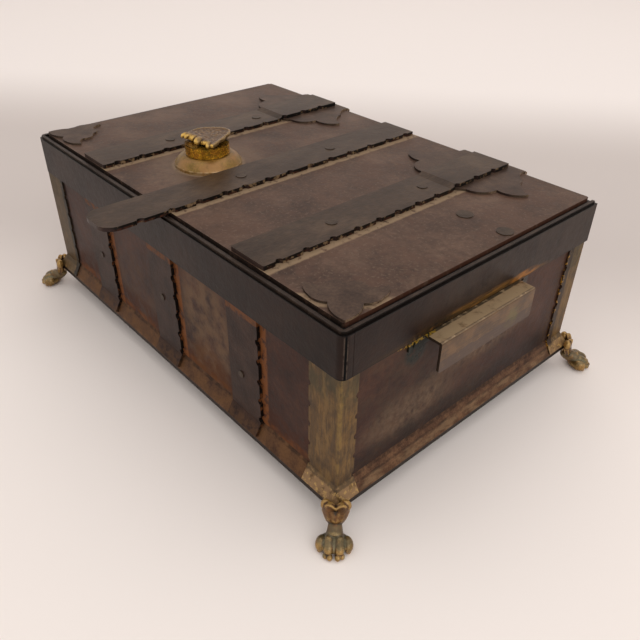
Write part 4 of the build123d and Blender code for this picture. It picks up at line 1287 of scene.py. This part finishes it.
@dataclass
class Shield:
    """The bowed head of a paw: a pointed shield with two ears, a raised rim and a hollow between them.

    Heights, widths, the radius of the bow and the swells are in millimetres. Shares, powers and
    the places of the rim and the ears run over the shield's own width and height. The rim rises
    from the tip as its start times the way up, to its full height at most.
    """

    tip_z: float = 7.9
    notch_z: float = 19.9
    ear_z: float = 22.0
    half_width: float = 7.5
    bow: float = 9.4
    back: float = 6.2
    thickness: float = 2.8
    tip_share: float = 0.14
    grown_share: float = 0.86
    widening: float = 0.44
    draw_in: float = 0.16
    draw_in_from: float = 0.82
    draw_in_over: float = 0.18
    ear_spread: float = 1.15
    ear_roundness: float = 0.7
    corner_drop: float = 2.6
    corner_sharpness: int = 8
    rim_height: float = 0.4
    rim_at: float = 0.72
    rim_reach: float = 0.26
    rim_start: float = 3.0
    rear_width: float = 0.9
    hollow: Swell = Swell(1.2, 0.2, 0.72, 0.12)
    boss: Swell = Swell(1.7, 0.8, 0.3, 0.24)

    def grid(self, across: int = 56, rows: int = 40) -> tuple[np.ndarray, np.ndarray]:
        """Work the shield out as a whole array.

        Across runs from -1 to 1 and up from 0 to 1. The half width grows as a power of the way up
        and draws in a little at the ears. The top edge is the notch plus the ears' rise times a
        power of a sine of the distance from the middle, less a drop at the corners. The face lies
        on a cylinder of the bow's radius, plus a ridge near the rim and a boss low down, less a
        hollow under the notch. The back is the face moved inward and a little narrower. Rings run
        round the face and back from one side to the other.

        Args:
            across: Points from side to side.
            rows: Points from the tip up.

        Returns:
            The points and the quad corner numbers.
        """
        side = np.sin(np.linspace(-0.5 * np.pi, 0.5 * np.pi, across))[None]
        up = np.linspace(0.0, 1.0, rows)[:, None]
        grown = self.tip_share + self.grown_share * up**self.widening
        drawn = 1.0 - self.draw_in * np.clip(up - self.draw_in_from, 0.0, 1.0) / self.draw_in_over
        half = self.half_width * grown * drawn
        ears = np.sin(np.pi * np.abs(side) ** self.ear_spread) ** self.ear_roundness
        top = self.notch_z + (self.ear_z - self.notch_z) * ears
        top = top - self.corner_drop * np.abs(side) ** self.corner_sharpness
        height = self.tip_z + up * (top - self.tip_z)
        wide = half * side
        face = np.sqrt(self.bow**2 - wide**2) - self.back
        ridge = self.rim_height * np.exp(-(((np.abs(side) - self.rim_at) / self.rim_reach) ** 2))
        ridge = ridge * np.clip(up * self.rim_start, 0.0, 1.0)
        face = face + ridge - self.hollow.over(side, up) + self.boss.over(side, up)
        front = np.stack([face, wide, height + 0.0 * face], -1)
        rear = np.stack([face - self.thickness, self.rear_width * wide, height + 0.0 * face], -1)
        points = np.concatenate([front, rear[:, ::-1]], axis=1)
        quads = ring_quads(rows, 2 * across)
        low = np.arange(across - 1)
        ends = []
        for start, turned in ((0, True), ((rows - 1) * 2 * across, False)):
            far = start + 2 * across - 1
            cap = np.stack([start + low, start + low + 1, far - low - 1, far - low], -1)
            ends.append(cap[:, ::-1] if turned else cap)
        return points.reshape(-1, 3), np.concatenate([quads, *ends])


def merged_mesh(name: str, forms: Sequence[tuple[np.ndarray, np.ndarray]]) -> bpy.types.Mesh:
    """Put several grids into one mesh.

    Args:
        name: The mesh's name.
        forms: Points in metres and quads of each form.

    Returns:
        The mesh.
    """
    points, quads, start = [], [], 0
    for form_points, form_quads in forms:
        points.append(form_points)
        quads.append(form_quads + start)
        start += len(form_points)
    mesh = bpy.data.meshes.new(name)
    mesh.from_pydata(np.concatenate(points).tolist(), [], np.concatenate(quads).tolist())
    mesh.update()
    return mesh


def put_in_scene(name: str, data: bpy.types.ID) -> bpy.types.Object:
    """Make an object of a mesh, a camera or a lamp and link it to the scene.

    Args:
        name: The object's name.
        data: What it shows or does.

    Returns:
        The object.
    """
    thing = bpy.data.objects.new(name, data)
    bpy.context.scene.collection.objects.link(thing)
    return thing


def shade_smooth(mesh: bpy.types.Mesh) -> None:
    """Shade every face of a mesh smoothly."""
    mesh.polygons.foreach_set("use_smooth", np.ones(len(mesh.polygons), dtype=bool))


def mesh_points(mesh: bpy.types.Mesh) -> np.ndarray:
    """Read where a mesh's points lie.

    Args:
        mesh: The mesh.

    Returns:
        One row of three measures for each point.
    """
    points = np.empty(len(mesh.vertices) * 3)
    mesh.vertices.foreach_get("co", points)
    return points.reshape(-1, 3)


def store_measure(mesh: bpy.types.Mesh, name: str, shares: np.ndarray) -> None:
    """Keep a share from 0 to 1 at each point of a mesh, for its finish to read.

    Args:
        mesh: The mesh.
        name: The measure's name.
        shares: One share for each point.
    """
    attribute = mesh.attributes.new(name, "FLOAT", "POINT")
    attribute.data.foreach_set("value", np.clip(shares, 0.0, 1.0).astype(np.float32))


def mark_relief(mesh: bpy.types.Mesh, rounds: int = 14, reach: float = 0.16) -> None:
    """Store how far each point lies below or above its smoothed surroundings.

    The points are averaged with their neighbours over several rounds; the move of each point
    along its normal, over the reach, is spread from 0 on ridges over 0.5 to 1 in hollows.

    Args:
        mesh: The mesh that gets the attribute.
        rounds: How many rounds of averaging are made.
        reach: The move, in millimetres, that counts as a full hollow or ridge.
    """
    points = mesh_points(mesh)
    count = len(points)
    normals = np.empty(count * 3)
    mesh.vertex_normals.foreach_get("vector", normals)
    ends = np.empty(len(mesh.edges) * 2, dtype=np.int64)
    mesh.edges.foreach_get("vertices", ends)
    first, second = ends.reshape(-1, 2).T
    valence = np.bincount(np.concatenate([first, second]), minlength=count)[:, None]
    smooth = points.copy()
    for _ in range(rounds):
        total = np.zeros_like(smooth)
        np.add.at(total, first, smooth[second])
        np.add.at(total, second, smooth[first])
        smooth = 0.5 * smooth + 0.5 * total / np.maximum(valence, 1)
    move = np.einsum("ij,ij->i", smooth - points, normals.reshape(-1, 3)) / (reach * MM)
    store_measure(mesh, RELIEF, 0.5 + 0.5 * move)


def cast_together(
    name: str, forms: Sequence[tuple[np.ndarray, np.ndarray]], grain: float
) -> bpy.types.Object:
    """Fuse overlapping closed forms into one smooth casting.

    Args:
        name: The piece's name.
        forms: Points in metres and quads of each form.
        grain: The size of the fused surface's faces, in millimetres.

    Returns:
        The casting, with its modifiers already applied.
    """
    rough = put_in_scene(name + "_rough", merged_mesh(name + "_rough", forms))
    fuse = rough.modifiers.new("fuse", "REMESH")
    fuse.mode = "VOXEL"
    fuse.voxel_size = grain * MM
    soften = rough.modifiers.new("soften", "SMOOTH")
    soften.factor = 0.5
    soften.iterations = 2
    depsgraph = bpy.context.evaluated_depsgraph_get()
    mesh = bpy.data.meshes.new_from_object(rough.evaluated_get(depsgraph))
    mesh.name = name
    bpy.data.objects.remove(rough)
    shade_smooth(mesh)
    mark_relief(mesh)
    return put_in_scene(name, mesh)


@dataclass
class PawFoot:
    """A cast paw at one corner, drawn along the diagonal out from the corner of the moulding.

    Its forms are in millimetres: along the diagonal from the corner, across it, and up. The
    grooves between the toes lie at places across. They deepen over a fade past their start, and
    again from their top down.
    """

    name: str
    side_x: float
    side_y: float
    corner_x: float = 153.0
    corner_y: float = 101.5
    grain: float = 0.34
    sole_z: float = 0.05
    groove_places: Point = (-4.9, 0.0, 4.9)
    groove_width: float = 0.34
    groove_start: float = 6.0
    groove_start_fade: float = 2.0
    groove_top: float = 9.0
    groove_top_fade: float = 1.5
    forms: tuple[Blob | Stem | Shield, ...] = (
        Blob((9.6, 0.0, 3.5), (5.8, 8.2, 4.3)),
        Stem(
            ((6.6, -2.5, 6.4), (10.2, -2.6, 6.4), (13.6, -2.6, 4.7), (16.2, -2.7, 2.5)),
            (1.4, 2.4, 2.5, 2.1),
        ),
        Stem(
            ((6.6, 2.5, 6.4), (10.2, 2.6, 6.4), (13.6, 2.6, 4.7), (16.2, 2.7, 2.5)),
            (1.4, 2.4, 2.5, 2.1),
        ),
        Blob((10.1, -6.1, 3.5), (4.2, 3.1, 3.6), turn=-12.0, lean=14.0),
        Blob((10.1, 6.1, 3.5), (4.2, 3.1, 3.6), turn=12.0, lean=14.0),
        Blob((16.8, -1.9, 1.7), (1.7, 1.5, 1.7)),
        Blob((15.9, -4.0, 1.6), (1.5, 1.4, 1.6)),
        Blob((16.8, 1.9, 1.7), (1.7, 1.5, 1.7)),
        Blob((15.9, 4.0, 1.6), (1.5, 1.4, 1.6)),
        Blob((12.35, -6.8, 1.6), (1.6, 1.6, 1.6)),
        Blob((12.35, 6.8, 1.6), (1.6, 1.6, 1.6)),
        Stem(((-0.6, 0.0, 11.0), (2.2, 0.0, 8.2), (5.4, 0.0, 6.6), (8.6, 0.0, 4.8)), (3.0, 3.4, 4.0, 5.4)),
        Shield(),
        Blob((-0.6, -4.9, 18.6), (2.2, 2.6, 3.4)),
        Blob((-0.5, 4.6, 18.6), (2.4, 3.0, 3.6)),
    )

    def toe_grooves(self, local: np.ndarray) -> np.ndarray:
        """Work out how far each point lies in a groove between the toes.

        It is the sum, over the grooves, of a bell curve of the distance across from them, times
        straight rises past the start and below the top.

        Args:
            local: Points along, across and up, in the foot's own millimetres.

        Returns:
            The share of a full groove at each point.
        """
        line = sum(np.exp(-(((local[:, 1] - s) / self.groove_width) ** 2)) for s in self.groove_places)
        past = np.clip((local[:, 0] - self.groove_start) / self.groove_start_fade, 0.0, 1.0)
        return line * past * np.clip((self.groove_top - local[:, 2]) / self.groove_top_fade, 0.0, 1.0)

    def build(self, material: bpy.types.Material) -> bpy.types.Object:
        """Cast the foot, place it and let it stand for its solid.

        Args:
            material: The brass it is cast in.

        Returns:
            The foot.
        """
        out = math.sqrt(0.5)
        along = np.array([self.side_x * out, self.side_y * out, 0.0])
        across = np.array([-self.side_y * out, self.side_x * out, 0.0])
        start = np.array([self.side_x * self.corner_x, BOX_MIDDLE_Y + self.side_y * self.corner_y, 0.0])
        turned = np.stack([along, across, np.array([0.0, 0.0, 1.0])])
        placed = []
        for form in self.forms:
            points, quads = form.grid()
            points[:, 2] = np.maximum(points[:, 2], self.sole_z)
            placed.append(((points @ turned + start) * MM, quads))
        foot = cast_together(self.name + "_casting", placed, self.grain)
        local = (mesh_points(foot.data) / MM - start) @ turned.T
        store_measure(foot.data, GROOVE, self.toe_grooves(local))
        foot.data.materials.append(material)
        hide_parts(self.name)
        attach(foot, "box")
        LOG.info("cast %s", self.name)
        return foot


@dataclass
class KnobCap:
    """The cast cap of the knob: a flat shell with a smooth lip on the right and claws at the front.

    The outline and the claws, each with its half width, are in millimetres from its middle, and
    heights are from its base. A place on a ring is a share of the way out to the outline.
    """

    centre_x: float = KNOB_PLACE[0]
    centre_y: float = KNOB_PLACE[1]
    base_z: float = 131.2
    grain: float = 0.34
    floor_z: float = 0.1
    top_z: float = 3.9
    dish: float = 0.25
    lip_height: float = 0.4
    lip_at: float = 0.93
    lip_reach: float = 0.06
    roll_depth: float = 1.9
    roll_from: float = 0.62
    roll_over: float = 0.38
    underside_climb: float = 2.5
    climb_from: float = 0.72
    climb_over: float = 0.28
    climb_curve: float = 1.4
    claw_climb: float = 0.6
    claw_side_turn: float = 0.15
    claw_side_curve: float = 0.8
    outline: tuple[tuple[float, float], ...] = (
        (16.6, -6.6), (12.8, 1.4), (8.8, 8.2), (4.9, 14.2), (1.8, 16.0), (-2.5, 15.4),
        (-7.4, 12.0), (-11.0, 7.0), (-12.8, 1.6), (-13.2, -4.0), (-11.8, -8.6), (-8.0, -8.4),
        (-3.5, -7.2), (1.0, -7.4), (5.6, -7.6), (9.6, -5.9), (13.6, -7.2),
    )
    claws: tuple[tuple[float, float, float], ...] = (
        (-11.0, -9.6, 1.3), (-8.0, -9.2, 1.3), (-2.9, -8.0, 1.4), (4.0, -9.2, 2.2), (13.4, -7.8, 1.6),
    )
    claw_path: tuple[Point, ...] = ((0.72, 0.6, 3.3), (0.92, 0.86, 3.5), (1.0, 1.0, 2.7), (1.03, 1.08, 1.2))
    claw_taper: tuple[float, ...] = (0.7, 1.0, 1.0, 0.7)
    dents: int = 520
    dent_seed: int = 7
    dent_low: tuple[float, float] = (-12.0, -6.5)
    dent_high: tuple[float, float] = (13.0, 13.5)
    dent_depth: float = 0.2
    dent_spread: float = 0.22
    deepest: float = 0.3
    dented_above: float = 3.0

    def shell(self, rows: int = 22, around: int = 150) -> tuple[np.ndarray, np.ndarray]:
        """Work out the shell.

        The outline is read off by angle from the middle. A ring at share s of it stands at the
        dished top, whose lip rises on the side away from the claws and rolls down towards them.
        The underside starts at the barrel and climbs to the lip. The rings run from the middle
        of the underside, out round the lip and back over the top.

        Args:
            rows: Rings on the underside and on the top.
            around: Points around each ring.

        Returns:
            The points and the quad corner numbers.
        """
        rim = np.array(self.outline)
        angle = np.arctan2(rim[:, 1], rim[:, 0])
        order = np.argsort(angle)
        turn = np.linspace(-np.pi, np.pi, around, endpoint=False)
        reach = np.interp(turn, angle[order], np.hypot(rim[order, 0], rim[order, 1]), period=2.0 * np.pi)
        share = np.linspace(0.02, 1.0, rows)
        shares = np.concatenate([share, share[::-1]])[:, None]
        upper = np.concatenate([np.zeros(rows), np.ones(rows)])[:, None]
        claw_side = np.clip(-np.sin(turn + self.claw_side_turn), 0.0, 1.0)[None] ** self.claw_side_curve
        lip = self.lip_height * np.exp(-(((shares - self.lip_at) / self.lip_reach) ** 2)) * (1.0 - claw_side)
        rolled = np.clip((shares - self.roll_from) / self.roll_over, 0.0, 1.0) ** 2
        roll = self.roll_depth * claw_side * rolled
        top = self.top_z + self.dish * shares**2 + lip - roll
        outward = np.clip((shares - self.climb_from) / self.climb_over, 0.0, 1.0) ** self.climb_curve
        climb = self.underside_climb * (1.0 - claw_side) * outward
        under = self.floor_z + climb + self.claw_climb * claw_side * shares
        height = np.where(upper > 0, top, under)
        ring = reach[None] * shares
        points = np.stack([ring * np.cos(turn), ring * np.sin(turn), height + 0.0 * ring], -1)
        return points.reshape(-1, 3), ring_quads(2 * rows, around)

    def stipple(self, points: np.ndarray) -> np.ndarray:
        """Push shallow dents into the top.

        Each dent lowers the points near it by a bell curve of their plan distance, up to a
        deepest one. Its place comes from a seeded spread over the top.

        Args:
            points: The shell's points.

        Returns:
            The points with the dents.
        """
        spread = np.random.default_rng(self.dent_seed)
        middles = spread.uniform(self.dent_low, self.dent_high, (self.dents, 2))
        far = np.sum((points[:, None, :2] - middles[None]) ** 2, axis=-1)
        depth = np.sum(self.dent_depth * np.exp(-far / self.dent_spread), axis=1)
        dented = points.copy()
        dented[:, 2] -= np.minimum(depth, self.deepest) * (points[:, 2] > self.dented_above)
        return dented

    def build(self, material: bpy.types.Material) -> bpy.types.Object:
        """Cast the cap, place it and let it stand for its solid.

        Args:
            material: The brass it is cast in.

        Returns:
            The cap.
        """
        points, quads = self.shell()
        forms = [(self.stipple(points), quads)]
        for x, y, radius in self.claws:
            path = tuple((out * x, ahead * y, z) for out, ahead, z in self.claw_path)
            forms.append(Stem(path, tuple(share * radius for share in self.claw_taper)).grid())
        start = np.array([self.centre_x, BOX_MIDDLE_Y + self.centre_y, self.base_z])
        placed = []
        for form_points, form_quads in forms:
            form_points[:, 2] = np.maximum(form_points[:, 2], self.floor_z)
            placed.append(((form_points + start) * MM, form_quads))
        cap = cast_together("knob_cap_casting", placed, self.grain)
        cap.data.materials.append(material)
        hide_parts("knob_cap")
        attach(cap, "knob")
        LOG.info("cast the knob cap")
        return cap


def set_place(thing: bpy.types.Object, columns: Sequence[Sequence[float]], place: Sequence[float]) -> None:
    """Turn an object to three directions of its own and move it to a place.

    Args:
        thing: The camera or lamp.
        columns: Where its own right, up and rear point.
        place: Where it stands, in metres.
    """
    world = Matrix.Identity(4)
    for column, direction in enumerate(columns):
        for row in range(3):
            world[row][column] = direction[row]
    world.translation = tuple(place)
    thing.matrix_world = world


@dataclass(frozen=True)
class Lamp:
    """A square soft lamp: its place, aim and width in metres, and its power in watts."""

    name: str
    place: Point
    aim: Point
    size: float
    power: float

    def hang(self) -> None:
        """Hang the lamp with its face turned to its aim."""
        data = bpy.data.lights.new(self.name, "AREA")
        data.size = self.size
        data.energy = self.power
        away = np.array(self.place) - np.array(self.aim)
        away /= np.linalg.norm(away)
        side = np.cross((0.0, 0.0, 1.0), away)
        side /= np.linalg.norm(side)
        set_place(put_in_scene(self.name, data), (side, np.cross(away, side), away), self.place)


@dataclass
class Studio:
    """Camera at the photograph's angle, a pale floor and wall, and soft lamps above and in front.

    The camera's place and the places where the cloth turns into a painted shadow and then
    into the wall's colour are in millimetres from the middle of the box, and the sheet's own
    measures are in metres.
    """

    position: Point = (301.842, -249.103, 273.937)
    right: Point = (0.66442, 0.74721, 0.01473)
    down: Point = (0.43711, -0.37255, -0.81862)
    forward: Point = (-0.60620, 0.55034, -0.57415)
    field_of_view: float = 51.441
    turn: float = 42.0
    floor_colour: Colour = field(default_factory=lambda: linear(0.945, 0.905, 0.88))
    painted_shadow_colour: Colour = field(default_factory=lambda: linear(0.78, 0.738, 0.715))
    wall_colour: Colour = field(default_factory=lambda: linear(0.935, 0.90, 0.88))
    painted_shadow_reach: tuple[float, float] = (-110.0, 150.0)
    wall_reach: tuple[float, float] = (330.0, 620.0)
    cloth_roughness: float = 0.9
    bend: float = 0.6
    sheet_front: float = -4.0
    sheet_rear: float = 1.7
    sheet_top: float = 4.0
    sheet_half_width: float = 5.0
    sky_colour: Colour = (1.0, 0.985, 0.97)
    sky_strength: float = 0.84
    lamps: tuple[Lamp, ...] = (
        Lamp("overhead", (-0.2, 0.5, 1.9), (0.0, 0.0, 0.0), size=2.4, power=10.0),
        Lamp("front", (1.9, -0.5, 1.2), (0.0, 0.0, 0.05), size=1.8, power=11.0),
    )

    def camera(self) -> None:
        """Set the camera up from its measured place and directions."""
        data = bpy.data.cameras.new("view")
        data.sensor_fit = "HORIZONTAL"
        data.angle = math.radians(self.field_of_view)
        data.clip_start = 0.01
        lens = put_in_scene("view", data)
        place = np.array(self.position) + np.array([0.0, BOX_MIDDLE_Y, 0.0])
        set_place(lens, (self.right, -np.array(self.down), -np.array(self.forward)), place * MM)
        bpy.context.scene.camera = lens

    def backdrop(self) -> None:
        """Lay a wide floor that curves up into a wall far behind the box.

        The sheet is a profile of a flat run, a quarter round and an upright run, carried along
        a straight path.
        """
        quarter = np.linspace(0.0, 0.5 * np.pi, 24)
        curve = self.sheet_rear + self.bend * np.sin(quarter)
        run = np.concatenate([[self.sheet_front], curve, [self.sheet_rear + self.bend]])
        rise = np.concatenate([[0.0], self.bend * (1.0 - np.cos(quarter)), [self.sheet_top]])
        wide = np.array([-self.sheet_half_width, self.sheet_half_width])
        points = np.stack([np.repeat(wide, len(run)), np.tile(run, 2), np.tile(rise, 2)], -1)
        count = len(run)
        low = np.arange(count - 1)
        quads = np.stack([low, low + count, low + count + 1, low + 1], -1)
        mesh = merged_mesh("backdrop", [(points @ upright_turn(self.turn).T, quads)])
        shade_smooth(mesh)
        sheet = put_in_scene("backdrop", mesh)
        maker = NodeMaker("backdrop_cloth_and_shadow")
        away = maker.heading(90.0 + self.turn)
        # Painted shadow: the cloth darkens from in front of the box to behind it, and turns pale again
        # further back.
        cloth = maker.mix(maker.step(away, *self.painted_shadow_reach), self.floor_colour, self.painted_shadow_colour)
        cloth = maker.mix(maker.step(away, *self.wall_reach), cloth, self.wall_colour)
        mesh.materials.append(maker.finish(cloth, self.cloth_roughness, 0.0, None, 0.0))

    def lights(self) -> None:
        """Hang every lamp in a nearly white, even world."""
        world = bpy.data.worlds.new("studio")
        bpy.context.scene.world = world
        world.use_nodes = True
        sky = world.node_tree.nodes["Background"]
        sky.inputs["Color"].default_value = (*self.sky_colour, 1.0)
        sky.inputs["Strength"].default_value = self.sky_strength
        for lamp in self.lamps:
            lamp.hang()

    def build(self) -> None:
        """Set up the view, the sheet and the lamps."""
        bpy.context.scene.view_settings.view_transform = "Standard"
        self.camera()
        self.backdrop()
        self.lights()
        LOG.info("studio ready")


def main() -> None:
    """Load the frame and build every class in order."""
    logging.basicConfig(level=logging.INFO)
    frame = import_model()
    Studio().build()
    Dressing(frame["nodes"]).dress()
    brass = CAST_BRASS.build()
    for name, side_x, side_y in (
        ("foot_front_right", 1.0, -1.0),
        ("foot_front_left", -1.0, -1.0),
        ("foot_rear_right", 1.0, 1.0),
        ("foot_rear_left", -1.0, 1.0),
    ):
        PawFoot(name, side_x, side_y).build(brass)
    KnobCap().build(CAP_BRASS.build())


if __name__ == "__main__":
    main()
